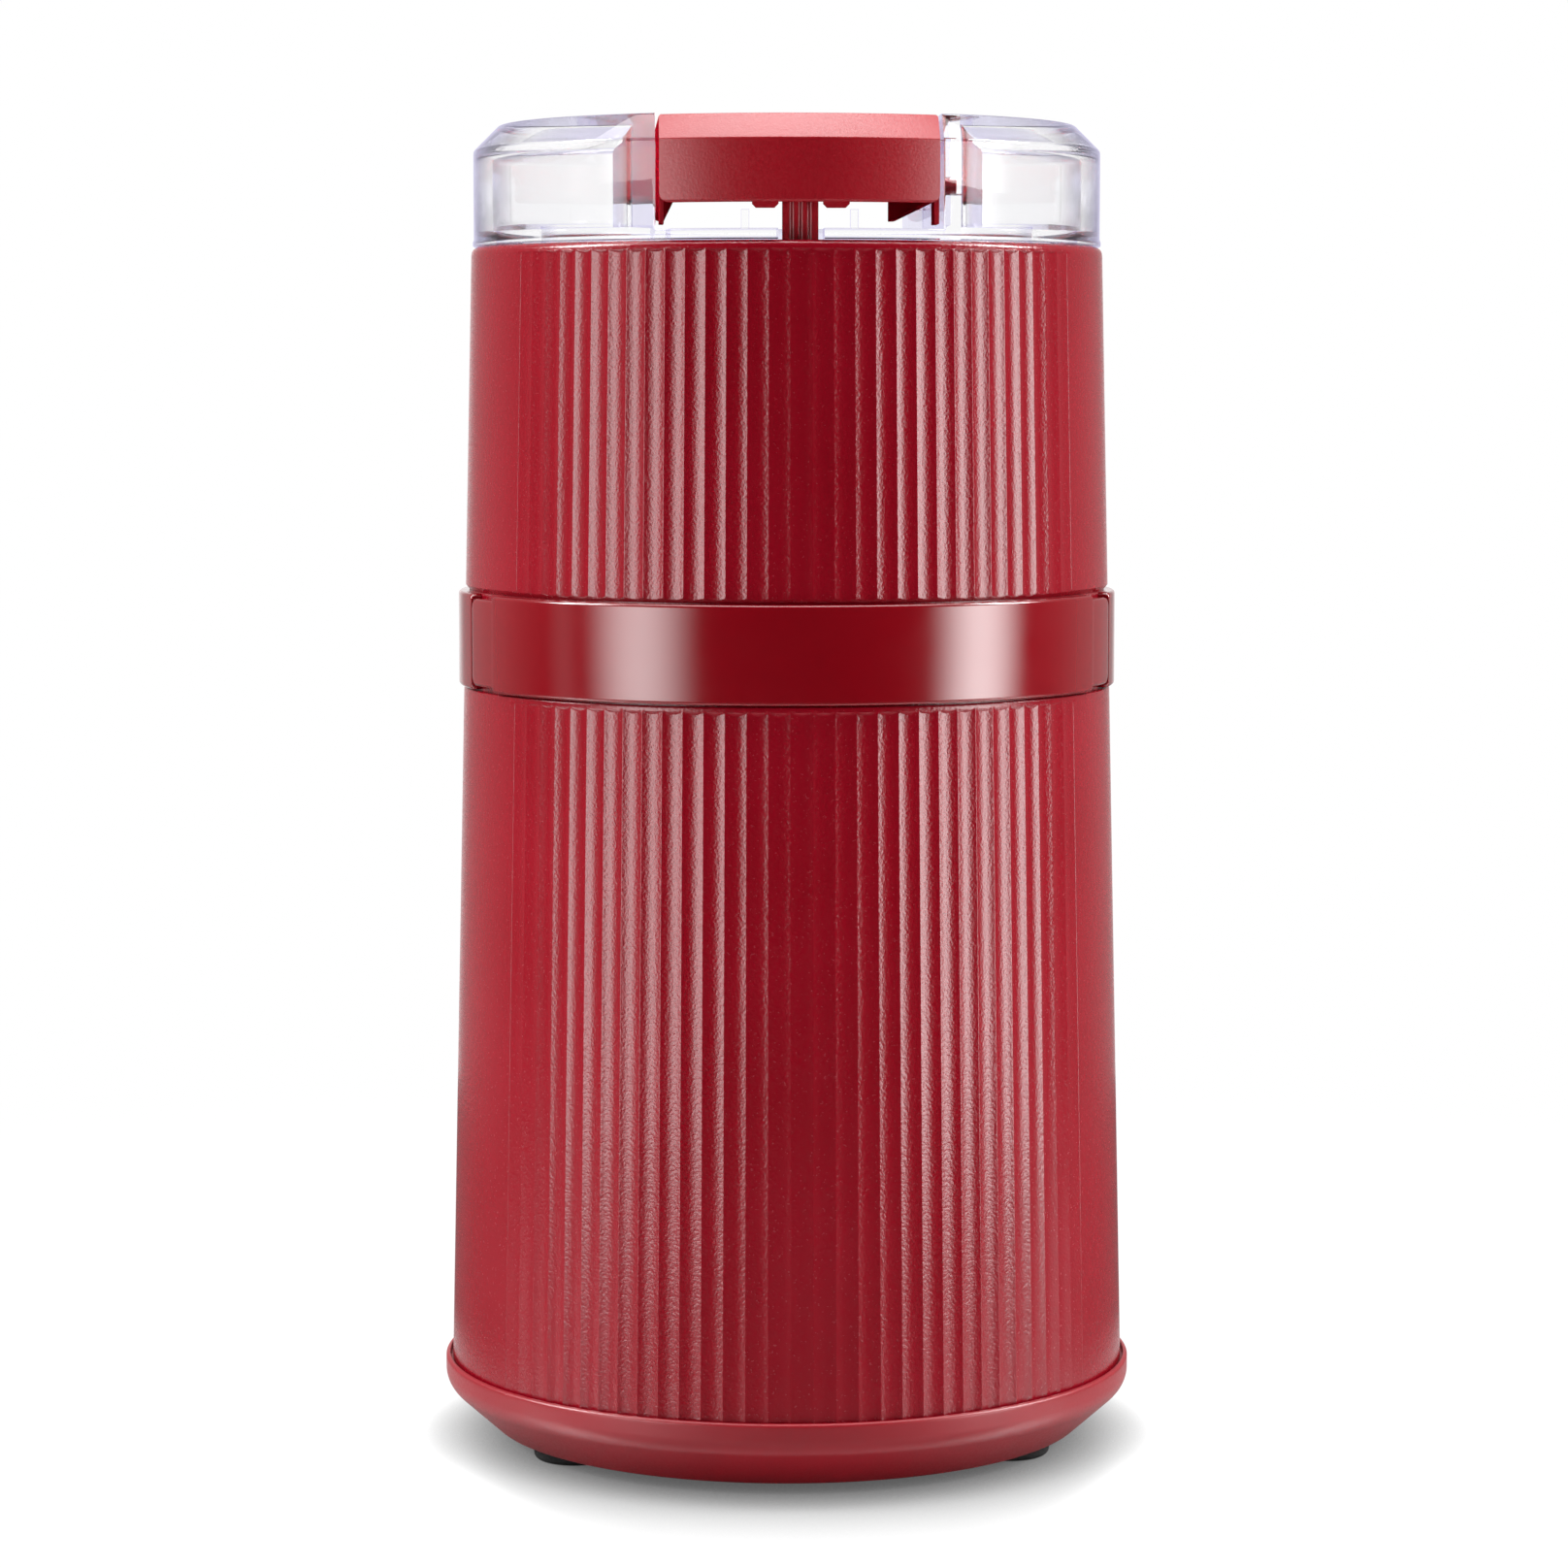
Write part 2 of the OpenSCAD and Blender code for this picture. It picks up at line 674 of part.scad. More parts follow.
module lid_outer() {
  rotate_extrude($fn = 180) polygon(concat(
    [[0, rim_z + 0.1], [lid_r + 0.15, rim_z + 0.1], [lid_r + 0.15, rim_z + 0.8], [lid_r, rim_z + 1.1]],
    arc(lid_r - 0.8, lid_top_z - lid_edge - 0.35, 0.8, 0, 45, 3),
    arc(lid_r - lid_edge - 0.35, lid_top_z - 0.8, 0.8, 45, 90, 3),
    [[0, lid_top_z]]));
}

// The room inside one dome, with a rounded corner at each end of its flat side
module dome_room(s) {
  in_r = lid_r - 2.6;
  flat_x = channel_half + lid_t;
  ledge_z = rim_z + 1.7;
  top_z = lid_top_z - 2.2;
  intersection() {
    rotate_extrude($fn = 120) polygon([[0, 150], [34, 150], [34, ledge_z], [in_r, ledge_z],
      [in_r, top_z - lid_edge + 0.6], [in_r - lid_edge + 0.6, top_z], [0, top_z]]);
    scale([s, 1, 1]) union() {
      span_box([flat_x, -29, 140], [50, 29, 190]);
      span_box([flat_x + 4, -33, 140], [50, 33, 190]);
      for (sy = [-1, 1]) translate([flat_x + 4, sy * 29, 140]) cylinder(r = 4, h = 50, $fn = 32);
    }
  }
}

module lid_shell() {
  floor_z0 = rim_z + 0.2;
  floor_z1 = rim_z + 1.5;
  color(clear) difference() {
    union() {
      lid_outer();
      difference() {
        drum(35.4, 161.5, rim_z + 1);
        drum(34, 160, floor_z0);
      }
    }
    difference() {
      span_box([-channel_half, -60, floor_z1], [channel_half, 60, 200]);
      // the posts that catch the hooks under the front of the bar
      for (s = [-1, 1])
        span_box([s * 7.1 - 0.5, -39.9, floor_z1 - 1], [s * 7.1 + 0.5, -37.4, floor_z1 + 2.5]);
    }
    for (s = [-1, 1]) {
      dome_room(s);
      span_box([s * 17.7 - 1.05, -38.3, 160], [s * 17.7 + 1.05, -31.0, floor_z1 + 1]);
      translate([s * (channel_half - 1), pivot_y, pivot_z]) rotate([0, s * 90, 0])
        cylinder(r = pivot_r + 0.1, h = 3.4, $fn = 48);
    }
    span_box([-rod_w / 2 - 0.7, -60, 150], [rod_w / 2 + 0.7, rod_y1 + 0.9, floor_z1 + 1]);
  }
}

// ---- press bar: hollow, hinged at the back, with the switch rod at the front ----

module bar_block(inset, z0) {
  intersection() {
    rotate_extrude($fn = 180) polygon([[0, z0], [lid_r - 0.15 - inset, z0],
      [lid_r - 0.15 - inset, lid_top_z - lid_edge - inset * 0.4],
      [lid_r - lid_edge - 0.15 - inset * 1.4, lid_top_z - 0.2 - inset], [0, lid_top_z - 0.2 - inset]]);
    span_box([-bar_half + inset, -60, z0], [bar_half - inset, 60, 200]);
  }
}

module press_bar() {
  skin = 1.8;
  rear_z0 = 174.6;               // the rear wall ends higher, clear of the hinge
  color(red) difference() {
    union() {
      difference() {
        bar_block(0, bar_z0);
        bar_block(skin, bar_z0 - 1);
        span_box([-30, pivot_y + 2.6, 160], [30, 60, rear_z0]);
      }
      for (s = [-1, 1]) {
        span_box([s * 17.6 - 0.65, -37.6, bar_z0 - 2.7], [s * 17.6 + 0.65, -31.6, bar_z0 + 2]);
        span_box([s * 4.6 - 1.7, -42.4, bar_z0 - 0.8], [s * 4.6 + 1.7, -41.2, bar_z0 + 1]);
        translate([s * (bar_half - 1), pivot_y, pivot_z]) rotate([0, s * 90, 0])
          cylinder(r = pivot_r, h = 3.3, $fn = 48);
      }
      for (y = [-14, 10])
        span_box([-bar_half + 1, y - 0.7, lid_top_z - 6], [bar_half - 1, y + 0.7, lid_top_z - 1.5]);
      span_box([-rod_w / 2, rod_y0, rod_foot_z], [rod_w / 2, rod_y1, lid_top_z - 2.4]);
    }
    for (x = [-1.15, 0, 1.15])
      translate([x, rod_y0 - 0.15, rod_foot_z - 1]) cylinder(r = 0.4, h = bar_z0 - rod_foot_z + 1, $fn = 16);
  }
}

// ---- switch ----

module switch_body() {
  color(rubber) difference() {
    span_box([-switch_half, switch_y0, switch_top_z - switch_h], [switch_half, switch_y1, switch_top_z]);
    translate([0, pushrod_y, 0]) drum(pushrod_r + play, switch_top_z - 8, switch_top_z + 1);
    for (x = [-switch_screw_x, switch_screw_x])
      translate([x, switch_y0 - 1, switch_screw_z]) rotate([-90, 0, 0])
        cylinder(r = switch_screw_r + play, h = 12);
  }
}

module switch_screws() {
  color(steel) for (x = [-switch_screw_x, switch_screw_x])
    translate([x, -43, switch_screw_z]) rotate([-90, 0, 0]) {
    cylinder(r = switch_screw_r, h = switch_y1 + 44);
    translate([0, 0, switch_y1 + 43]) cylinder(r = 2.2, h = 1.4);
  }
}

module switch_plunger() {
  top_z = rod_foot_z - rod_gap;
  color(deep_red) {
    span_box([-rod_w / 2 + 0.1, rod_y0 + 0.1, plunger_foot_z], [rod_w / 2 - 0.1, rod_y1, top_z]);
    span_box([-rod_w / 2 + 0.1, rod_y0 + 0.1, plunger_foot_z],
      [rod_w / 2 - 0.1, pushrod_y + 2.4, plunger_foot_z + plunger_foot_h]);
    for (z = [120 : 10 : 150])
      span_box([-0.6, rod_y1 - eps, z], [0.6, rod_y1 + 0.7, z + 6]);
  }
}

module switch_pushrod() {
  color(nylon) translate([0, pushrod_y, 0]) drum(pushrod_r, switch_top_z - 3, plunger_foot_z);
}

module plunger_spring() {
  color(steel) translate([0, pushrod_y, 0]) ring(1.8, 2.4, switch_top_z, plunger_foot_z, $fn = 32);
}

base_cover();
feet();
base_screws();
lower_housing();
cord_gland();
waist_band_front();
waist_band_rear();
upper_housing();
housing_screws();
bowl();
bowl_gasket();
shaft_seal();
lower_bracket();
upper_bracket();
lower_bush();
upper_bush();
bracket_screws();
bracket_dampers();
motor_cushion();
stator_core();
field_coils();
motor_spacers();
motor_screws();
motor_nuts();
brush_holders();
carbon_brushes();
brush_springs();
switch_body();
switch_screws();
motor_shaft();
rotor_core();
rotor_windings();
commutator();
cooling_fan();
blade_hub();
blade();
blade_nut();
lid_shell();
press_bar();
switch_plunger();
switch_pushrod();
plunger_spring();
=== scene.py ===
import math
import bmesh
import bpy
from mathutils import Matrix, Vector


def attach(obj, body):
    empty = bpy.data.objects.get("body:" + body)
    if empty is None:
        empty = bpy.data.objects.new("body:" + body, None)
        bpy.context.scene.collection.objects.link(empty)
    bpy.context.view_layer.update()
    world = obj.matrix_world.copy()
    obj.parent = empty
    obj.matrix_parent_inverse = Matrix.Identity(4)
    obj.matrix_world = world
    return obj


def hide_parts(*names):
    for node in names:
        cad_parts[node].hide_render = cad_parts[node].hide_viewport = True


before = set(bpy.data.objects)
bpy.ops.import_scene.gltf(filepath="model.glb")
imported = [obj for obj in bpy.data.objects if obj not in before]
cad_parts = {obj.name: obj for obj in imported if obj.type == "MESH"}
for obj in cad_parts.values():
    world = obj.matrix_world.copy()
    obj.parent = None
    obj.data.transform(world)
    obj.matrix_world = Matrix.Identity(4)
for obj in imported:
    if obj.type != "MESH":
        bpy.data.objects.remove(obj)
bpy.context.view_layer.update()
MM = 0.001


# ---- Camera ----
# The photograph was taken from in front, 149 mm above the table, with the grinder
# turned 2.5 degrees. The lens looks down a little and sees the whole grinder.
camera_distance = 621.7 * MM
camera_height = 149.3 * MM
camera_turn = math.radians(-2.5)
camera_pitch = math.radians(5.315)
camera_yaw = math.radians(0.035)
camera_data = bpy.data.cameras.new("camera")
camera_data.sensor_fit = "HORIZONTAL"
camera_data.sensor_width = 36
camera_data.lens = 102.3
camera_data.clip_start = 0.01
camera_data.clip_end = 50
camera = bpy.data.objects.new("camera", camera_data)
camera.location = (
    camera_distance * math.sin(camera_turn),
    -camera_distance * math.cos(camera_turn),
    camera_height,
)
camera.rotation_euler = (math.pi / 2 - camera_pitch, 0, camera_turn + camera_yaw)
bpy.context.scene.collection.objects.link(camera)
bpy.context.scene.camera = camera


# ---- Studio ----
# A pale floor under a white room. Two wide softboxes stand in front, two more hang high
# at the sides, a weak one stands low on the left, and one shines down from above.
def node(tree, kind, x=0, y=0, inputs=None, **settings):
    """A shader node; each input gets a plain value, or a link from another node's output."""
    made = tree.nodes.new(kind)
    made.location = (x, y)
    for setting, value in settings.items():
        setattr(made, setting, value)
    for socket, value in (inputs or {}).items():
        if isinstance(value, bpy.types.NodeSocket):
            tree.links.new(value, made.inputs[socket])
        else:
            made.inputs[socket].default_value = value
    return made


def maths(tree, operation, x, y, *values):
    """The result of one math node."""
    return node(tree, "ShaderNodeMath", x, y, dict(enumerate(values)), operation=operation).outputs[0]


def span(tree, source, x, y, from_low, from_high, to_low, to_high, curve="LINEAR"):
    """A value that goes from one level to another while the source crosses a range."""
    ends = {"Value": source, "From Min": from_low, "From Max": from_high,
            "To Min": to_low, "To Max": to_high}
    return node(tree, "ShaderNodeMapRange", x, y, ends, interpolation_type=curve).outputs["Result"]


def ramp(tree, source, x, y, first, last, *between):
    """A colour that follows the source through stops of (place, colour)."""
    made = node(tree, "ShaderNodeValToRGB", x, y, {"Fac": source})
    stops = made.color_ramp.elements
    for stop, (place, colour) in ((stops[0], first), (stops[1], last)):
        stop.position = place
        stop.color = colour
    for place, colour in between:
        stops.new(place).color = colour
    return made.outputs["Color"]


def grey(level):
    return (level, level, level, 1)


def fresh_tree(owner):
    """The emptied node tree of a lamp, a world or a material."""
    owner.use_nodes = True
    owner.node_tree.nodes.clear()
    return owner.node_tree


softbox_height = 0.7
lit_point = Vector((0, 0, 90 * MM))


def softbox(name, azimuth, distance, centre_z, width, power):
    """A softbox in metres and watts, brightest in its middle, that faces the grinder."""
    light = bpy.data.lights.new(name, "AREA")
    light.shape = "RECTANGLE"
    light.size = width
    light.size_y = softbox_height
    light.energy = power
    tree = fresh_tree(light)
    spot = node(tree, "ShaderNodeNewGeometry", -900, 0)
    parts = node(tree, "ShaderNodeSeparateXYZ", -700, 0, {0: spot.outputs["Parametric"]})
    half_turn = maths(tree, "MULTIPLY", -500, 0, parts.outputs["X"], math.pi)
    bell = maths(tree, "SINE", -350, 0, half_turn)
    steep = maths(tree, "POWER", -200, 0, bell, 2)
    glowing = node(tree, "ShaderNodeEmission", 0, 0, {"Strength": steep})
    node(tree, "ShaderNodeOutputLight", 200, 0, {"Surface": glowing.outputs[0]})
    lamp = bpy.data.objects.new(name, light)
    turn = math.radians(azimuth) + camera_turn
    lamp.location = (distance * math.sin(turn), -distance * math.cos(turn), centre_z)
    lamp.rotation_euler = (lit_point - lamp.location).to_track_quat("-Z", "Y").to_euler()
    lamp.visible_camera = False
    bpy.context.scene.collection.objects.link(lamp)


softbox("left_front_box", -51, 1.2, 0.10, 1.05, 15)
softbox("right_front_box", 69, 1.2, 0.10, 0.98, 20)
softbox("left_high_box", -89, 1.2, 1.00, 0.60, 56)
softbox("right_high_box", 95, 1.2, 1.00, 0.45, 52)
softbox("left_side_box", -82, 1.2, 0.10, 0.40, 0.4)
softbox("top_box", 180, 0.05, 1.2, 2.20, 40)

room = bpy.data.worlds.new("room")
bpy.context.scene.world = room
tree = fresh_tree(room)
seen = node(tree, "ShaderNodeLightPath", -1000, 200)
looked_at = maths(tree, "MAXIMUM", -800, 200, seen.outputs["Is Camera Ray"],
                  seen.outputs["Is Transmission Ray"])
way = node(tree, "ShaderNodeTexCoord", -1200, -300)
way_parts = node(tree, "ShaderNodeSeparateXYZ", -1000, -300, {0: way.outputs["Generated"]})
walls = ramp(tree, way_parts.outputs["Y"], -800, -300, (0.0, grey(0.02)), (0.995, grey(1)),
             (0.5, grey(0.28)), (0.93, grey(0.34)))
soft_light = span(tree, seen.outputs["Is Glossy Ray"], -800, -550, 0, 1, 2.5, 1)
level = maths(tree, "MULTIPLY", -500, -400, walls, soft_light)
plain_room = node(tree, "ShaderNodeBackground", -300, 0, {"Color": grey(1), "Strength": level})
white_room = node(tree, "ShaderNodeBackground", -300, -150, {"Color": grey(1)})
either_room = node(tree, "ShaderNodeMixShader", -100, 0,
                   {"Fac": looked_at, 1: plain_room.outputs[0], 2: white_room.outputs[0]})
node(tree, "ShaderNodeOutputWorld", 100, 0, {"Surface": either_room.outputs[0]})

# The floor paint glows white to the eye, with a painted soft shadow where an occlusion test finds the
# grinder hiding the sky. In the grinder's own reflections the floor near it glows as a painted pool of
# light, and only there is its polish seen.
floor_paint = bpy.data.materials.new("floor_paint")
tree = fresh_tree(floor_paint)
path = node(tree, "ShaderNodeLightPath", -1500, 300)
in_mirror = path.outputs["Is Glossy Ray"]
looked_at = maths(tree, "MAXIMUM", -1250, 300, path.outputs["Is Camera Ray"],
                  path.outputs["Is Transmission Ray"])
place = node(tree, "ShaderNodeNewGeometry", -1700, -100)
from_middle = node(tree, "ShaderNodeVectorMath", -1500, -300, {0: place.outputs["Position"]},
                   operation="LENGTH").outputs["Value"]
floor_place = node(tree, "ShaderNodeSeparateXYZ", -1500, 0, {0: place.outputs["Position"]})
aside = maths(tree, "ABSOLUTE", -1300, 0, floor_place.outputs["X"])
far_off = span(tree, from_middle, -1000, -300, 0.07, 0.32, 0, 1, "SMOOTHSTEP")
far_and_looked_at = maths(tree, "MULTIPLY", -500, -300, far_off, looked_at)
seen_only = maths(tree, "MAXIMUM", -1000, 400, looked_at, in_mirror)
paint = node(tree, "ShaderNodeMix", -800, 400,
             {"Factor": seen_only, "A": grey(0.52), "B": grey(0.03)}, data_type="RGBA")
matt = node(tree, "ShaderNodeBsdfDiffuse", -500, 300, {"Color": paint.outputs["Result"]})
# Painted light: close to the grinder the floor glows only in reflections, brighter towards the sides, as
# painted pools of light.
side_pool = span(tree, aside, -1000, -600, 0.012, 0.055, 0.4, 1.5)
close_by = span(tree, from_middle, -800, -600, 0.075, 0.11, side_pool, 0, "SMOOTHSTEP")
painted_pool_in_mirror = maths(tree, "MULTIPLY", -600, -600, close_by, in_mirror)
any_look = maths(tree, "MAXIMUM", -700, 0, looked_at, painted_pool_in_mirror)
# Painted shadow: an occlusion test dims the floor's white glow near the grinder, reaching further near the
# middle than at the sides.
shadow_reach = span(tree, aside, -1100, 100, 0.018, 0.046, 0.020, 0.008, "SMOOTHSTEP")
open_sky = node(tree, "ShaderNodeAmbientOcclusion", -900, 100, {"Distance": shadow_reach},
                samples=8)
unshaded = maths(tree, "MULTIPLY_ADD", -700, 150, open_sky.outputs["AO"], 0.90, 0.08)
brightness = maths(tree, "MULTIPLY", -500, 0, any_look, unshaded)
glow = node(tree, "ShaderNodeEmission", -300, 0, {"Color": grey(1), "Strength": brightness})
near = node(tree, "ShaderNodeAddShader", -100, 100, {0: matt.outputs[0], 1: glow.outputs[0]})
polish = node(tree, "ShaderNodeBsdfAnisotropic", -300, -150, {"Color": grey(0.4), "Roughness": 0.35})
polish_share = maths(tree, "MULTIPLY", -300, -400, in_mirror, 0.65)
polished = node(tree, "ShaderNodeMixShader", 100, 0,
                {"Fac": polish_share, 1: near.outputs[0], 2: polish.outputs[0]})
far_white = node(tree, "ShaderNodeEmission", 100, -200, {"Color": grey(1)})
whole = node(tree, "ShaderNodeMixShader", 300, 0,
             {"Fac": far_and_looked_at, 1: polished.outputs[0], 2: far_white.outputs[0]})
node(tree, "ShaderNodeOutputMaterial", 500, 0, {"Surface": whole.outputs[0]})
floor_r = 0.33
floor_sides = 128
floor_mesh = bpy.data.meshes.new("floor")
floor_mesh.from_pydata(
    [(floor_r * math.cos(2 * math.pi * i / floor_sides),
      floor_r * math.sin(2 * math.pi * i / floor_sides), 0) for i in range(floor_sides)],
    [], [range(floor_sides)])
floor = bpy.data.objects.new("floor", floor_mesh)
bpy.context.scene.collection.objects.link(floor)
floor_mesh.materials.append(floor_paint)


# ---- Base cover ----
# A flared tray moulded in satin red plastic, closed from below with three screws. Its
# lip stands round the foot of the lower housing and leaves a fine dark gap.
def arc(centre_r, centre_z, radius, start, end, steps):
    points = []
    for i in range(steps + 1):
        angle = math.radians(start + (end - start) * i / steps)
        points.append((centre_r + radius * math.cos(angle), centre_z + radius * math.sin(angle)))
    return points


def even_columns(count):
    return [2 * math.pi * i / count for i in range(count)]


def finish_piece(name, bm, sharp=32):
    bmesh.ops.remove_doubles(bm, verts=bm.verts, dist=1e-7)
    bmesh.ops.recalc_face_normals(bm, faces=bm.faces)
    mesh = bpy.data.meshes.new(name)
    bm.to_mesh(mesh)
    bm.free()
    mesh.shade_smooth()
    mesh.set_sharp_from_angle(angle=math.radians(sharp))
    piece = bpy.data.objects.new(name, mesh)
    bpy.context.scene.collection.objects.link(piece)
    return piece


def turned(name, outline, columns=None, relief=None, sharp=32):
    """A closed outline of (radius, height) in mm turned round Z; relief sinks its surface."""
    columns = columns or even_columns(256)
    bm = bmesh.new()
    rings = []
    for radius, height in outline:
        if radius < 1e-6:
            rings.append([bm.verts.new((0, 0, height * MM))])
            continue
        ring = []
        for angle in columns:
            sunk = relief(angle, radius, height) if relief else 0
            r = (radius - sunk) * MM
            ring.append(bm.verts.new((r * math.sin(angle), -r * math.cos(angle), height * MM)))
        rings.append(ring)
    count = len(columns)
    for lower, upper in zip(rings, rings[1:] + rings[:1]):
        if len(lower) == 1 and len(upper) == 1:
            continue
        for i in range(count):
            j = (i + 1) % count
            if len(lower) == 1:
                bm.faces.new((lower[0], upper[j], upper[i]))
            elif len(upper) == 1:
                bm.faces.new((lower[i], lower[j], upper[0]))
            else:
                bm.faces.new((lower[i], lower[j], upper[j], upper[i]))
    return finish_piece(name, bm, sharp)


def block(name, low, high):
    """A box between two corners in mm, to cut or join with."""
    bm = bmesh.new()
    bmesh.ops.create_cube(bm, size=1)
    low, high = Vector(low) * MM, Vector(high) * MM
    for v in bm.verts:
        v.co = Vector((low[k] + (v.co[k] + 0.5) * (high[k] - low[k]) for k in range(3)))
    return finish_piece(name, bm)


def rod(name, radius, start, end, steps=48):
    """A round bar between two points in mm, to cut or join with."""
    start, end = Vector(start) * MM, Vector(end) * MM
    along = end - start
    bm = bmesh.new()
    bmesh.ops.create_cone(bm, cap_ends=True, segments=steps, radius1=radius * MM,
                          radius2=radius * MM, depth=along.length)
    turn = along.to_track_quat("Z", "Y").to_matrix().to_4x4()
    bmesh.ops.transform(bm, matrix=Matrix.Translation((start + end) / 2) @ turn, verts=bm.verts)
    return finish_piece(name, bm)


def moved(piece, angle=0, offset=(0, 0, 0)):
    """The piece turned about Z by degrees counted from the front, then shifted in mm."""
    shift = Matrix.Translation(Vector(offset) * MM)
    piece.data.transform(Matrix.Rotation(math.radians(angle), 4, "Z") @ shift)
    return piece


def joined(piece, tools, how, sharp=32):
    """Cuts the tools from the piece, or joins them to it, and deletes the tools."""
    for tool in tools:
        step = piece.modifiers.new(how, "BOOLEAN")
        step.operation = how
        step.solver = "MANIFOLD"
        step.object = tool
    graph = bpy.context.evaluated_depsgraph_get()
    mesh = bpy.data.meshes.new_from_object(piece.evaluated_get(graph))
    piece.modifiers.clear()
    old = piece.data
    piece.data = mesh
    mesh.name = piece.name
    bpy.data.meshes.remove(old)
    for tool in tools:
        bpy.data.meshes.remove(tool.data)
    mesh.shade_smooth()
    mesh.set_sharp_from_angle(angle=math.radians(sharp))
    return piece


def painted(piece, material):
    piece.data.materials.clear()
    piece.data.materials.append(material)
    return piece


def marked_surface(tree, tone_from, marks, dark, light, gloss, dent, inputs):
    """Ends a material: its tone follows one pattern, its fine dents the marks."""
    tone = ramp(tree, tone_from, -600, 250, (0.3, (*dark, 1)), (0.7, (*light, 1)))
    dents = node(tree, "ShaderNodeBump", -400, -250,
                 {"Strength": 1.0, "Distance": dent * MM, "Height": marks})
    shader = node(tree, "ShaderNodeBsdfPrincipled", -150, 0,
                  {"Base Color": tone, "Roughness": gloss, "Normal": dents.outputs["Normal"], **inputs})
    node(tree, "ShaderNodeOutputMaterial", 150, 0, {"Surface": shader.outputs[0]})


def moulded(name, dark, light, roughness, grain_size, grain_depth, rough_spread=0.06,
            clear_coat=0.0):
    """Moulded plastic: a fine grain in the surface, and slow drifts of tone and gloss."""
    material = bpy.data.materials.new(name)
    tree = fresh_tree(material)
    place = node(tree, "ShaderNodeTexCoord", -1100, 0).outputs["Object"]
    drift = node(tree, "ShaderNodeTexNoise", -850, 250, {"Vector": place, "Scale": 45, "Detail": 3})
    grain = node(tree, "ShaderNodeTexNoise", -850, -200,
                 {"Vector": place, "Scale": 1 / (grain_size * MM), "Detail": 2}).outputs["Fac"]
    gloss = span(tree, grain, -600, 0, 0.3, 0.7, roughness - rough_spread, roughness + rough_spread)
    marked_surface(tree, drift.outputs["Fac"], grain, dark, light, gloss, grain_depth,
                   {"IOR": 1.54, "Coat Weight": clear_coat, "Coat Roughness": 0.08})
    return material


rim_z = 166
rim_r = 43.6
draft = 0.0228
wall = 2.2


def body_r(z):
    return rim_r + (rim_z - z) * draft


foot_h = 2
base_top_z = 4.4
lip_z = 11.6
seat_z = 10.9
bevel_z = 8.9
base_r = 48.1
base_floor_r = 42
screw_ring_r = 36
screw_angles = (0, 120, 240)
foot_ring_r = 34.4
foot_angles = (60, 180, 300)
lip_inner_r = body_r(lip_z) + 0.35
base_inner_r = body_r(seat_z) - wall - 0.4
base_outline = (
    [(0, foot_h), (base_floor_r - 0.9, foot_h)]
    + arc(base_floor_r - 0.9, foot_h + 0.9, 0.9, -90, -48, 4)
    + arc(base_r - 3.4, bevel_z + 0.6, 3.4, -46, 0, 12)
    + [(base_r, lip_z - 0.9)]
    + arc(base_r - 0.5, lip_z - 0.5, 0.5, 0, 90, 6)
    + [(lip_inner_r + 0.1, lip_z), (lip_inner_r, lip_z - 0.1), (lip_inner_r, seat_z),
       (base_inner_r, seat_z), (base_inner_r, bevel_z), (base_floor_r - 1.6, base_top_z),
       (0, base_top_z)]
)
base_cover = turned("base_cover_shell", base_outline, sharp=40)


def all_round(angles, form, *sizes):
    """Copies of a cutting or joining form, one at each angle counted from the front."""
    return [moved(form(*sizes), angle) for angle in angles]


base_posts = [rod("post", 12, (0, 0, base_top_z - 0.5), (0, 0, 14), 96)]
base_posts += all_round(screw_angles, rod, "post", 5.2, (0, -screw_ring_r, base_top_z - 0.5),
                        (0, -screw_ring_r, seat_z - 0.02))
joined(base_cover, base_posts, "UNION", 40)
screw_head_r = 3.4
screw_hole_r = 1.65
foot_hole_r = 2.55
vent_angles = [angle for angle in range(0, 360, 12) if 12 < angle % 60]
base_cuts = all_round(screw_angles, rod, "cut", screw_head_r, (0, -screw_ring_r, 1),
                      (0, -screw_ring_r, 6.5))
base_cuts += all_round(screw_angles, rod, "cut", screw_hole_r, (0, -screw_ring_r, 6),
                       (0, -screw_ring_r, 12))
base_cuts += all_round(foot_angles, rod, "cut", foot_hole_r, (0, -foot_ring_r, 1),
                       (0, -foot_ring_r, 6))
base_cuts += all_round(vent_angles, block, "cut", (-1.2, 16, 1), (1.2, 27, 6))
joined(base_cover, base_cuts, "DIFFERENCE", 40)
base_plastic = moulded("base_plastic", (0.22, 0.002, 0.008), (0.25, 0.003, 0.010), 0.36, 0.35, 0.004)
painted(base_cover, base_plastic)
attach(base_cover, "housing")
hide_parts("base_cover")


# ---- Feet ----
# Three black rubber feet, pushed into holes in the base cover. Their lower edges are
# rounded, and the rubber has a dull, slightly dusty face.
def rubber(name, dark, light, roughness):
    return moulded(name, dark, light, roughness, 0.5, 0.02, 0.08)


foot_rubber = rubber("foot_rubber", (0.002, 0.002, 0.0022), (0.006, 0.006, 0.0065), 0.8)
foot_outline = (
    [(0, 0), (4.6, 0)] + arc(4.9, 0.9, 0.9, -90, 0, 6)
    + [(5.8, foot_h), (2.5, foot_h), (2.5, base_top_z), (3.2, base_top_z), (2.2, 6.2), (0, 6.2)]
)
for angle, place in zip(foot_angles, ("right", "back", "left")):
    foot = turned("foot_" + place, foot_outline, even_columns(64))
    moved(foot, angle, (0, -foot_ring_r, 0))
    painted(foot, foot_rubber)
    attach(foot, "housing")
    if place == "right":
        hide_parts("feet")


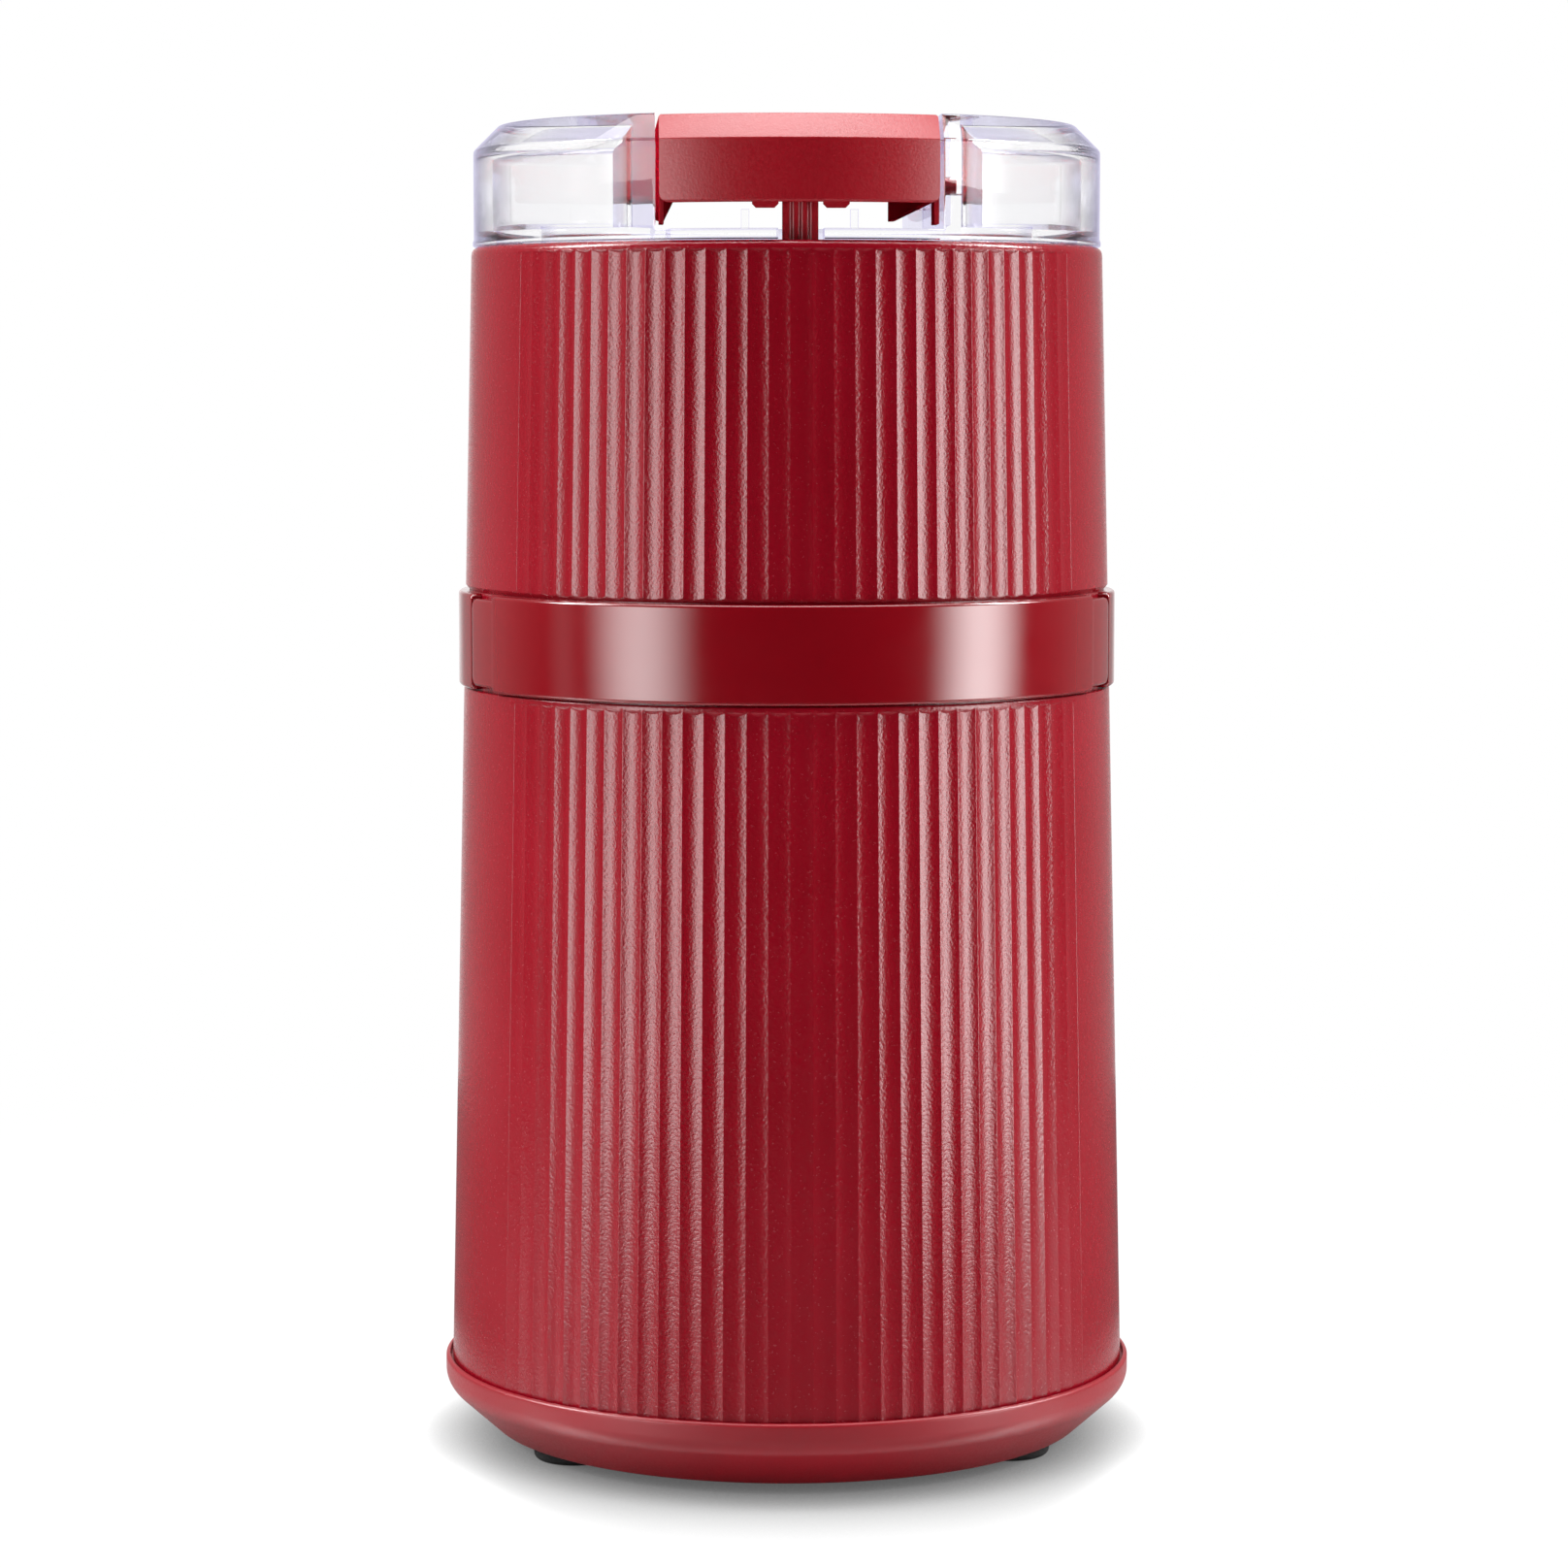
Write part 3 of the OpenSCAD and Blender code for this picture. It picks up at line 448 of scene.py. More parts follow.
# ---- Lower housing ----
# The motor housing, moulded in red plastic with a fine spark-eroded grain. Flutes run
# down its front and its back, follow the draft and fade out towards the sides.
flute_pitch = math.radians(3.65)
flute_depth = 0.23
flute_width = 1.0
ridge_round = 0.045
flutes_aside = 15
fade_from = math.radians(44)
fade_over = math.radians(15)
joint_z = 112
neck_r = 44.1
neck_z0 = 105.6
neck_inner_r = 42


def from_nearest_face(angle):
    """The angle from the middle of the front or of the back, whichever is nearer."""
    angle = (angle + math.pi) % (2 * math.pi) - math.pi
    if abs(angle) > math.pi / 2:
        angle -= math.copysign(math.pi, angle)
    return angle


def fluted_columns():
    """Angles of the columns: close together on the ridges, wider apart in the flutes."""
    steps = 14
    edge = (flutes_aside + 0.5) * flute_pitch
    fine = []
    for k in range(-flutes_aside, flutes_aside + 1):
        for i in range(steps):
            fine.append(flute_pitch * (k + 0.5 * math.sin(math.pi / 2 * (2 * i / steps - 1))))
    fine.append(edge)
    plain = 44
    gap = math.pi - 2 * edge
    angles = []
    for middle in (0, math.pi):
        angles += [middle + a for a in fine]
        angles += [middle + edge + gap * i / plain for i in range(1, plain)]
    return angles


def flute_sink(angle, z, end_z):
    """How deep the flutes are at an angle and a height, with a rounded run-out at end_z."""
    a = from_nearest_face(angle)
    if abs(a) > (flutes_aside + 0.5) * flute_pitch:
        return 0
    share = min(1, max(0.15, (fade_from + fade_over - abs(a)) / fade_over))
    aside = (a / flute_pitch + 0.5) % 1 - 0.5
    hollow = flute_depth * share * (1 - (aside * 2 / flute_width) ** 2)
    sink = 0.5 * (hollow + math.sqrt(hollow ** 2 + ridge_round ** 2))
    return max(0, min(sink, (end_z - z) * 0.62))


def heights_between(low, high, rough_step, fine_zone, fine_step):
    """Heights from low to high, spaced widely and then finely near the upper end."""
    heights = []
    z = low
    while z < high - fine_zone:
        heights.append(z)
        z += rough_step
    z = high - fine_zone
    while z < high + 1e-6:
        heights.append(z)
        z += fine_step
    return heights


lower_end_z = neck_z0 - 0.7
lower_outline = [(body_r(z), z) for z in heights_between(seat_z, lower_end_z, 11, 1.4, 0.14)]
lower_outline += [(body_r(neck_z0 - 0.35), neck_z0 - 0.35)]
lower_outline += arc(body_r(neck_z0) - 0.3, neck_z0 - 0.3, 0.3, 20, 90, 4)
lower_outline += [(neck_r, neck_z0), (neck_r, joint_z), (37, joint_z), (37, joint_z - 3),
                  (neck_inner_r, joint_z - 3), (neck_inner_r, neck_z0),
                  (body_r(neck_z0) - wall - 0.2, neck_z0 - 3), (body_r(seat_z) - wall, seat_z)]


def lower_relief(angle, radius, z):
    if radius < body_r(z) - 0.05:
        return 0
    return flute_sink(angle, z, lower_end_z)


lower_housing = turned("lower_housing_shell", lower_outline, fluted_columns(), lower_relief)
inlet_z = 24
pad_y = 47.3
collar_ring_r = 39.3
housing_hole_r = 1.55


def plunger_way(low, high):
    """The slot in a front wall through which the switch plunger slides."""
    return block("cut", (-2.6, -41.65, low), (2.6, -38.3, high))


lower_adds = [rod("pad", 9.5, (0, 43.6, inlet_z), (0, pad_y, inlet_z), 96)]
lower_adds += all_round(screw_angles, rod, "post", 4, (0, -screw_ring_r, seat_z),
                        (0, -screw_ring_r, 30))
lower_adds += all_round(screw_angles, block, "rib", (-1, -45.5, seat_z + 1), (1, -39, 30))
lower_adds += [block("rib", (x - 2.2, -44, 86), (x + 2.2, -40.4, 95)) for x in (-7, 7)]
joined(lower_housing, lower_adds, "UNION")
lower_cuts = [rod("cut", 6, (0, 40, inlet_z), (0, 52, inlet_z), 64)]
lower_cuts += all_round(screw_angles, rod, "cut", housing_hole_r, (0, -screw_ring_r, 9),
                        (0, -screw_ring_r, 23))
lower_cuts += all_round(foot_angles, rod, "cut", housing_hole_r, (0, -collar_ring_r, joint_z - 4),
                        (0, -collar_ring_r, joint_z + 1))
lower_cuts.append(plunger_way(joint_z - 4, joint_z + 1))
joined(lower_housing, lower_cuts, "DIFFERENCE")
housing_plastic = moulded("housing_plastic", (0.20, 0.0012, 0.007), (0.22, 0.0018, 0.009),
                          0.19, 0.40, 0.050, 0.09)
painted(lower_housing, housing_plastic)
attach(lower_housing, "housing")
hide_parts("lower_housing")


# ---- Cord gland ----
# A black rubber bush in the back of the lower housing, pressed in from inside. The
# mains cord would pass through its bore.
gland_outline = (
    [(3.4, 40.5), (7.6, 40.5), (7.6, 43.7), (5.95, 43.7), (5.95, pad_y + 0.02),
     (7.7, pad_y + 0.02)]
    + arc(7.0, pad_y + 0.05, 0.65, 10, 90, 5)
    + [(4.0, 48.0), (3.5, 47.8), (3.4, 47.5)]
)
gland = turned("cord_gland_bush", gland_outline, even_columns(96))
gland.data.transform(Matrix.Translation((0, 0, inlet_z * MM)) @ Matrix.Rotation(-math.pi / 2, 4, "X"))
painted(gland, rubber("gland_rubber", (0.014, 0.014, 0.015), (0.032, 0.032, 0.034), 0.62))
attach(gland, "housing")
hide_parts("cord_gland")


# ---- Motor and its frame ----
# Inside the lower housing: a laminated core with two field coils, between two alloy
# brackets that carry the bushes, held by tie screws and hung on rubber dampers.
def machined(name, dark, light, roughness, stretch, scale, depth):
    """Bare metal with fine tool marks drawn out along one direction."""
    material = bpy.data.materials.new(name)
    tree = fresh_tree(material)
    place = node(tree, "ShaderNodeTexCoord", -1200, 0)
    scaled = node(tree, "ShaderNodeMapping", -1000, 0,
                  {"Vector": place.outputs["Object"], "Scale": stretch})
    marks = node(tree, "ShaderNodeTexNoise", -800, 0,
                 {"Vector": scaled.outputs["Vector"], "Scale": scale, "Detail": 4}).outputs["Fac"]
    gloss = span(tree, marks, -600, 0, 0, 1, roughness - 0.1, roughness + 0.1)
    marked_surface(tree, marks, marks, dark, light, gloss, depth, {"Metallic": 1})
    return material


round_marks = (1, 1, 12)
zinc = machined("zinc_plate", (0.42, 0.43, 0.42), (0.62, 0.62, 0.58), 0.34, round_marks, 260, 0.002)
turned_steel = machined("turned_steel", (0.45, 0.45, 0.46), (0.62, 0.62, 0.64), 0.28,
                        round_marks, 300, 0.003)
cast_alloy = machined("cast_alloy", (0.45, 0.46, 0.47), (0.6, 0.61, 0.62), 0.5, (1, 1, 1), 900, 0.02)
laminations = machined("laminations", (0.10, 0.10, 0.11), (0.28, 0.28, 0.3), 0.5, (1, 1, 60), 40, 0.03)
bronze = machined("sintered_bronze", (0.36, 0.2, 0.08), (0.55, 0.33, 0.14), 0.48, (1, 1, 1), 1400, 0.01)
copper_wire = machined("enamelled_copper", (0.35, 0.11, 0.03), (0.62, 0.24, 0.08), 0.3,
                       (1, 1, 30), 60, 0.05)
carbon = moulded("pressed_carbon", (0.01, 0.01, 0.011), (0.03, 0.03, 0.032), 0.55, 0.3, 0.01)
black_moulding = moulded("black_moulding", (0.012, 0.012, 0.014), (0.024, 0.024, 0.026), 0.42, 0.4, 0.008)
nylon = moulded("white_nylon", (0.62, 0.6, 0.53), (0.72, 0.7, 0.63), 0.45, 0.5, 0.008)
soft_rubber = rubber("soft_rubber", (0.02, 0.02, 0.021), (0.04, 0.04, 0.042), 0.66)
for name, material in (
    ("base_screws", zinc), ("housing_screws", zinc), ("bracket_screws", zinc),
    ("motor_screws", zinc), ("motor_nuts", zinc), ("switch_screws", zinc),
    ("motor_spacers", turned_steel), ("brush_springs", turned_steel),
    ("plunger_spring", turned_steel), ("motor_shaft", turned_steel),
    ("lower_bracket", cast_alloy), ("upper_bracket", cast_alloy),
    ("stator_core", laminations), ("rotor_core", laminations),
    ("lower_bush", bronze), ("upper_bush", bronze), ("brush_holders", bronze),
    ("field_coils", copper_wire), ("rotor_windings", copper_wire),
    ("commutator", copper_wire), ("carbon_brushes", carbon),
    ("bracket_dampers", soft_rubber), ("motor_cushion", soft_rubber),
    ("cooling_fan", nylon), ("switch_pushrod", nylon), ("switch_body", black_moulding),
):
    painted(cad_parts[name], material)


# ---- Upper housing ----
# The bowl housing, in the same grained plastic. Its flutes scallop the sloping lower
# edge above the band, and a ledge inside the plain rim carries the bowl.
neck_z1 = 119
upper_end_z = rim_z - 1.1
ledge_z = rim_z - 2
ledge_t = 2.2
rim_inner_r = 41.8
bulkhead_z = joint_z + 3
upper_outline = [(8, joint_z), (neck_r, joint_z), (neck_r, neck_z1)]
upper_outline += [(body_r(neck_z1) - 0.56 + 0.56 * i / 8, neck_z1 + 0.7 * i / 8) for i in range(9)]
upper_outline += [(body_r(z), z)
                  for z in heights_between(neck_z1 + 1, upper_end_z, 11, 1.4, 0.14)]
upper_outline += arc(rim_r - 1, rim_z - 1, 1, 0, 90, 8)
upper_outline += [(rim_inner_r + 0.25, rim_z), (rim_inner_r, rim_z - 0.25), (rim_inner_r, ledge_z),
                  (37, ledge_z), (37, ledge_z - ledge_t), (rim_inner_r - 0.3, ledge_z - ledge_t),
                  (body_r(bulkhead_z) - wall, bulkhead_z), (8, bulkhead_z)]


def upper_relief(angle, radius, z):
    if z < neck_z1 - 0.01 or radius < body_r(z) - 0.7:
        return 0
    sink = flute_sink(angle, z, upper_end_z)
    return max(0, sink - (body_r(z) - radius))


upper_housing = turned("upper_housing_shell", upper_outline, fluted_columns(), upper_relief)
upper_adds = [rod("post", 11, (0, 0, joint_z + 1), (0, 0, 121.7), 96)]
upper_adds += all_round(foot_angles, rod, "post", 3, (0, -collar_ring_r, bulkhead_z - 1),
                        (0, -collar_ring_r, 122))
upper_adds += [rod("post", 4.5, (0, y, bulkhead_z - 1), (0, y, 119)) for y in (-28, 28)]
joined(upper_housing, upper_adds, "UNION")
upper_cuts = [rod("cut", 6.2, (0, 0, joint_z - 1), (0, 0, 123), 64)]
upper_cuts += all_round(foot_angles, rod, "cut", housing_hole_r, (0, -collar_ring_r, joint_z - 1),
                        (0, -collar_ring_r, 121))
upper_cuts += [rod("cut", 2.05, (0, y, joint_z - 1), (0, y, 118)) for y in (-28, 28)]
upper_cuts.append(plunger_way(joint_z - 1, bulkhead_z + 1))
upper_cuts.append(plunger_way(ledge_z - 4, ledge_z + 1))
joined(upper_housing, upper_cuts, "DIFFERENCE")
painted(upper_housing, housing_plastic)
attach(upper_housing, "housing")
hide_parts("upper_housing")


# ---- Waist band ----
# A glossy front plate and the rear part of the band clip round the neck between the
# housings. Their ends meet at fine seams near the sides, with rounded corners.
band_z0 = 105.8
band_z1 = 118.9
band_r = 45.65
front_half = math.radians(72.5)


def band_part(name, facing, half, corner, step_from=None):
    """A strip of the band wrapped round the neck, with soft edges; its ends may be stepped."""
    length = half * band_r
    mid_z = (band_z0 + band_z1) / 2
    half_h = (band_z1 - band_z0) / 2
    step = 0.6
    soft = 0.5
    columns = [length - corner + corner * math.sin(math.pi / 2 * i / 8) for i in range(9)]
    if step_from:
        columns += [step_from * band_r + k for k in (-0.02, 0, step, step + 0.02)]
    columns += [(length - corner) * i / 72 for i in range(1, 72)]
    columns = sorted({round(x, 4) for x in columns})
    columns = [-x for x in reversed(columns)] + [0] + columns

    def reach(x):
        past = max(0, abs(x) - (length - corner))
        top = half_h - corner + math.sqrt(max(0, corner ** 2 - past ** 2))
        if step_from:
            top -= min(step, max(0, abs(x) - step_from * band_r))
        return top

    levels = [(0, neck_r + 0.05)]
    for i in range(7):
        angle = math.radians(15 * i)
        levels.append((soft * (1 - math.cos(angle)), band_r - soft * (1 - math.sin(angle))))
    bm = bmesh.new()
    rows = []
    for x in columns:
        top = reach(x)
        line = [(-(top - inset), radius) for inset, radius in levels]
        line += [(top - inset, radius) for inset, radius in reversed(levels)]
        angle = facing + x / band_r
        rows.append([bm.verts.new((radius * MM * math.sin(angle), -radius * MM * math.cos(angle),
                                   (mid_z + dz) * MM)) for dz, radius in line])
    count = len(rows[0])
    for a, b in zip(rows, rows[1:]):
        for i in range(count):
            j = (i + 1) % count
            bm.faces.new((a[i], b[i], b[j], a[j]))
    bm.faces.new(rows[0])
    bm.faces.new(rows[-1])
    return finish_piece(name, bm, 50)


band_plastic = moulded("band_plastic", (0.17, 0.0006, 0.004), (0.185, 0.0009, 0.005),
                       0.16, 6, 0.004, 0.02, clear_coat=0.5)
gap_half = 0.18 / band_r
band_front = band_part("band_front_plate", 0, front_half - gap_half, 1.0, math.radians(62.5))
band_rear = band_part("band_rear_part", math.pi, math.pi - front_half - gap_half, 0.8)
for piece, name in ((band_front, "waist_band_front"), (band_rear, "waist_band_rear")):
    painted(piece, band_plastic)
    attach(piece, "housing")
    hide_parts(name)


# ---- Switch plunger ----
# A red plunger stands in the front wall under the rod of the press bar. It pushes a
# nylon pin into the switch, and one coil spring lifts it again.
plunger_plastic = moulded("plunger_plastic", (0.22, 0.008, 0.018), (0.26, 0.01, 0.022), 0.36, 0.4, 0.008)
painted(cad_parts["switch_plunger"], plunger_plastic)


# ---- Bowl, gasket and seal ----
# The grinding bowl is drawn from stainless sheet and brushed round. It hangs by its
# rim on a silicone gasket, and a rubber seal closes the hole for the shaft.
def ringed_steel(name, dark, light, roughness):
    """Stainless steel with fine brush lines that run round the Z axis."""
    material = bpy.data.materials.new(name)
    tree = fresh_tree(material)
    place = node(tree, "ShaderNodeTexCoord", -1700, 0)
    parts = node(tree, "ShaderNodeSeparateXYZ", -1500, 0, {0: place.outputs["Object"]})
    flat = node(tree, "ShaderNodeCombineXYZ", -1300, 120,
                {"X": parts.outputs["X"], "Y": parts.outputs["Y"]})
    radius = node(tree, "ShaderNodeVectorMath", -1100, 120, {0: flat.outputs[0]}, operation="LENGTH")
    line = node(tree, "ShaderNodeCombineXYZ", -900, 0,
                {"X": radius.outputs["Value"], "Y": parts.outputs["Z"]})
    brush = node(tree, "ShaderNodeTexNoise", -750, 0,
                 {"Vector": line.outputs[0], "Scale": 2600, "Detail": 4}).outputs["Fac"]
    gloss = span(tree, brush, -600, 0, 0, 1, roughness - 0.08, roughness + 0.08)
    marked_surface(tree, brush, brush, dark, light, gloss, 0.004, {"Metallic": 1})
    return material


bowl_r = 35.9
bowl_floor_z = 124
sheet = 0.8
corner_r = 8
collar_r = 6.5
bowl_outline = (
    [(bowl_r, ledge_z + 1.2)]
    + arc(bowl_r - corner_r, bowl_floor_z + corner_r, corner_r, 0, -90, 18)
    + arc(collar_r + sheet + 1.2, bowl_floor_z + 1.2, 1.2, -90, -180, 5)
    + arc(collar_r + sheet / 2, bowl_floor_z + 2.6, sheet / 2, 0, 180, 6)
    + [(collar_r, bowl_floor_z - sheet)]
    + arc(bowl_r - corner_r, bowl_floor_z + corner_r, corner_r + sheet, -90, 0, 18)
    + [(bowl_r + sheet, ledge_z + 0.6), (bowl_r + 1.6, ledge_z + 0.6)]
    + arc(bowl_r + 1.6, ledge_z + 1.0, 0.4, -90, 90, 6)
    + arc(bowl_r + 0.5, ledge_z + 0.9, 0.5, 90, 180, 5)
)
bowl = turned("steel_bowl", bowl_outline, even_columns(256), sharp=60)
painted(bowl, ringed_steel("brushed_bowl", (0.5, 0.5, 0.5), (0.68, 0.68, 0.69), 0.26))
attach(bowl, "housing")
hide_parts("bowl")
painted(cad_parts["bowl_gasket"],
        rubber("silicone", (0.55, 0.53, 0.48), (0.62, 0.6, 0.55), 0.5))
painted(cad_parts["shaft_seal"], soft_rubber)


# ---- Blade ----
# A two-winged blade stamped from stainless steel, one tip bent up and one down, on a
# steel hub and under a brass cap nut.
blade_steel = machined("blade_steel", (0.5, 0.5, 0.51), (0.7, 0.7, 0.71), 0.22, (1, 14, 1), 180, 0.003)
brass = machined("turned_brass", (0.5, 0.33, 0.1), (0.72, 0.5, 0.2), 0.25, round_marks, 300, 0.003)
painted(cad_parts["blade"], blade_steel)
painted(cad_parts["blade_hub"], turned_steel)
painted(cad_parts["blade_nut"], brass)


# ---- Lid ----
# A clear lid moulded in one piece: two hollow D-shaped domes with a channel between
# them, a collar that enters the bowl, and two small posts for the hooks of the bar.
lid_r = 43.25
lid_top_z = 182.6
lid_edge = 3.5
lid_t = 2.2
channel_half = 18.75
floor_z0 = rim_z + 0.2
floor_z1 = rim_z + 1.5
lid_foot_z = rim_z + 0.1
pivot_y = 34
pivot_z = 174
lid_columns = even_columns(288)
lid_outline = (
    [(0, floor_z0), (34, floor_z0), (34, 161.7), (34.2, 161.5), (35.2, 161.5), (35.4, 161.7),
     (35.4, lid_foot_z), (lid_r, lid_foot_z), (lid_r + 0.15, lid_foot_z + 0.15),
     (lid_r + 0.15, lid_foot_z + 0.6), (lid_r, lid_foot_z + 0.95)]
    + arc(lid_r - 0.8, lid_top_z - lid_edge - 0.33, 0.8, 0, 45, 5)
    + arc(lid_r - lid_edge - 0.33, lid_top_z - 0.8, 0.8, 45, 90, 5)
    + [(lid_r - lid_edge - 0.9, lid_top_z), (0, lid_top_z)]
)
lid = turned("clear_lid", lid_outline, lid_columns, sharp=28)


def prism(name, outline, low, high):
    """An upright prism in mm from a flat outline of (x, y)."""
    bm = bmesh.new()
    bottom = [bm.verts.new((x * MM, y * MM, low * MM)) for x, y in outline]
    top = [bm.verts.new((x * MM, y * MM, high * MM)) for x, y in outline]
    bm.faces.new(bottom)
    bm.faces.new(top)
    count = len(outline)
    for i in range(count):
        j = (i + 1) % count
        bm.faces.new((bottom[i], bottom[j], top[j], top[i]))
    return finish_piece(name, bm)


def dome_room(side):
    """The hollow of one dome: the turned inside, kept where it is outside the channel."""
    inside_r = lid_r - 2.6
    top_z = lid_top_z - 2.2
    flat_x = channel_half + lid_t
    shelf_z = rim_z + 1.7
    hollow = turned("room", (
        [(0, 150), (34, 150), (34, shelf_z), (inside_r, shelf_z)]
        + arc(inside_r - 1.2, top_z - lid_edge + 0.4, 1.2, 0, 45, 5)
        + arc(inside_r - lid_edge - 0.2, top_z - 1.2, 1.2, 45, 90, 5)
        + [(inside_r - lid_edge - 0.8, top_z), (0, top_z)]), lid_columns)
    corner = 4
    reach_y = 33
    outline = []
    for cx, cy, start in ((flat_x + corner, -reach_y + corner, 180), (60, -reach_y, None),
                          (60, reach_y, None), (flat_x + corner, reach_y - corner, 90)):
        if start is None:
            outline.append((cx, cy))
            continue
        for i in range(13):
            angle = math.radians(start + 90 * i / 12)
            outline.append((cx + corner * math.cos(angle), cy + corner * math.sin(angle)))
    if side < 0:
        outline = [(-x, y) for x, y in reversed(outline)]
    keep = prism("keep", outline, 140, 190)
    return joined(hollow, [keep], "INTERSECT")


lid_cuts = [block("channel", (-channel_half, -60, floor_z1), (channel_half, 60, 200))]
for side in (-1, 1):
    lid_cuts.append(dome_room(side))
    lid_cuts.append(block("slot", (side * 17.7 - 1.05, -38.3, 160),
                          (side * 17.7 + 1.05, -31, floor_z1 + 1)))
    lid_cuts.append(rod("pin_hole", 1.6, (side * (channel_half - 1), pivot_y, pivot_z),
                        (side * (channel_half + 2.4), pivot_y, pivot_z), 48))
lid_cuts.append(block("notch", (-3, -60, 150), (3, -38.0, floor_z1 + 1)))
joined(lid, lid_cuts, "DIFFERENCE", 28)
posts = [block("post", (x - 0.5, -39.9, floor_z1 - 0.3), (x + 0.5, -37.4, floor_z1 + 2.5))
         for x in (-7.1, 7.1)]
joined(lid, posts, "UNION", 28)


def clear_plastic(name):
    """Clear polished plastic: pale lavender where it is seen edge on, with slow ripples."""
    material = bpy.data.materials.new(name)
    tree = fresh_tree(material)
    place = node(tree, "ShaderNodeTexCoord", -1100, 0)
    ripple = node(tree, "ShaderNodeTexNoise", -900, -200,
                  {"Vector": place.outputs["Object"], "Scale": 60, "Detail": 1}).outputs["Fac"]
    turned_away = node(tree, "ShaderNodeLayerWeight", -900, 200).outputs["Facing"]
    drift = maths(tree, "MULTIPLY_ADD", -700, 50, ripple, 0.12, turned_away)
    tint = ramp(tree, drift, -500, 150, (0.1, (0.997, 0.997, 1, 1)), (1.0, (0.58, 0.55, 0.84, 1)),
                (0.7, (0.98, 0.976, 0.995, 1)))
    dents = node(tree, "ShaderNodeBump", -300, -250,
                 {"Strength": 0.6, "Distance": 0.05 * MM, "Height": ripple})
    polished = {"Base Color": tint, "Normal": dents.outputs["Normal"], "Transmission Weight": 1,
                "Roughness": 0.02, "IOR": 1.18, "Coat Weight": 0.5, "Coat Roughness": 0.03}
    shader = node(tree, "ShaderNodeBsdfPrincipled", -100, 0, polished)
    straight = node(tree, "ShaderNodeBsdfTransparent", -100, 250, {"Color": (0.80, 0.78, 0.92, 1)})
    edge_on = span(tree, turned_away, -300, 350, 0.62, 0.97, 0, 0.85)
    both = node(tree, "ShaderNodeMixShader", 250, 100,
                {"Fac": edge_on, 1: shader.outputs[0], 2: straight.outputs[0]})
    node(tree, "ShaderNodeOutputMaterial", 450, 0, {"Surface": both.outputs[0]})
    return material


painted(lid, clear_plastic("clear_lid_plastic"))
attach(lid, "lid")
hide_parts("lid_shell")


# ---- Press bar ----
# A hollow red bar that fills the channel. It is hinged on two stub pins at the back,
# and at the front it carries two hooks, side skirts and the rod for the switch.
bar_half = 18.25
bar_z0 = 170.9
bar_top_z = lid_top_z - 0.2
bar_r = lid_r - 0.15
bar_skin = 1.8
rod_w = 4.6
laid_back = Matrix.Rotation(math.pi / 2, 4, "X")


def bar_solid(name, inset, low, soft, corner):
    """The bar's outer form, or its hollow: the lid's outline between two upright planes."""
    outline = (
        [(0, low), (bar_r - inset - 0.3, low), (bar_r - inset, low + 0.3)]
        + arc(bar_r - inset - soft, lid_top_z - lid_edge - inset * 0.4 - soft * 0.41, soft, 0, 45, 4)
        + arc(bar_r - lid_edge - inset * 1.4 - soft * 0.41, bar_top_z - inset - soft, soft, 45, 90, 4)
        + [(bar_r - lid_edge - inset * 1.4 - 0.5, bar_top_z - inset), (0, bar_top_z - inset)]
    )
    form = turned(name, outline, lid_columns)
    half = bar_half - inset
    top = bar_top_z + 1
    side = [(half - corner, low), (-half + corner, low)]
    side += [(-half + corner - corner * math.sin(math.radians(9 * i)),
              low + corner - corner * math.cos(math.radians(9 * i))) for i in range(1, 11)]
    side += [(-half, bar_top_z - 0.25), (-half + 0.25, bar_top_z), (-half + 0.25, top)]
    side += [(half - 0.25, top), (half - 0.25, bar_top_z), (half, bar_top_z - 0.25)]
    side += [(half - corner + corner * math.cos(math.radians(9 * i)),
              low + corner - corner * math.sin(math.radians(9 * i))) for i in range(0, 10)]
    keep = prism("keep", side, -60, 60)
    keep.data.transform(laid_back)
    return joined(form, [keep], "INTERSECT")


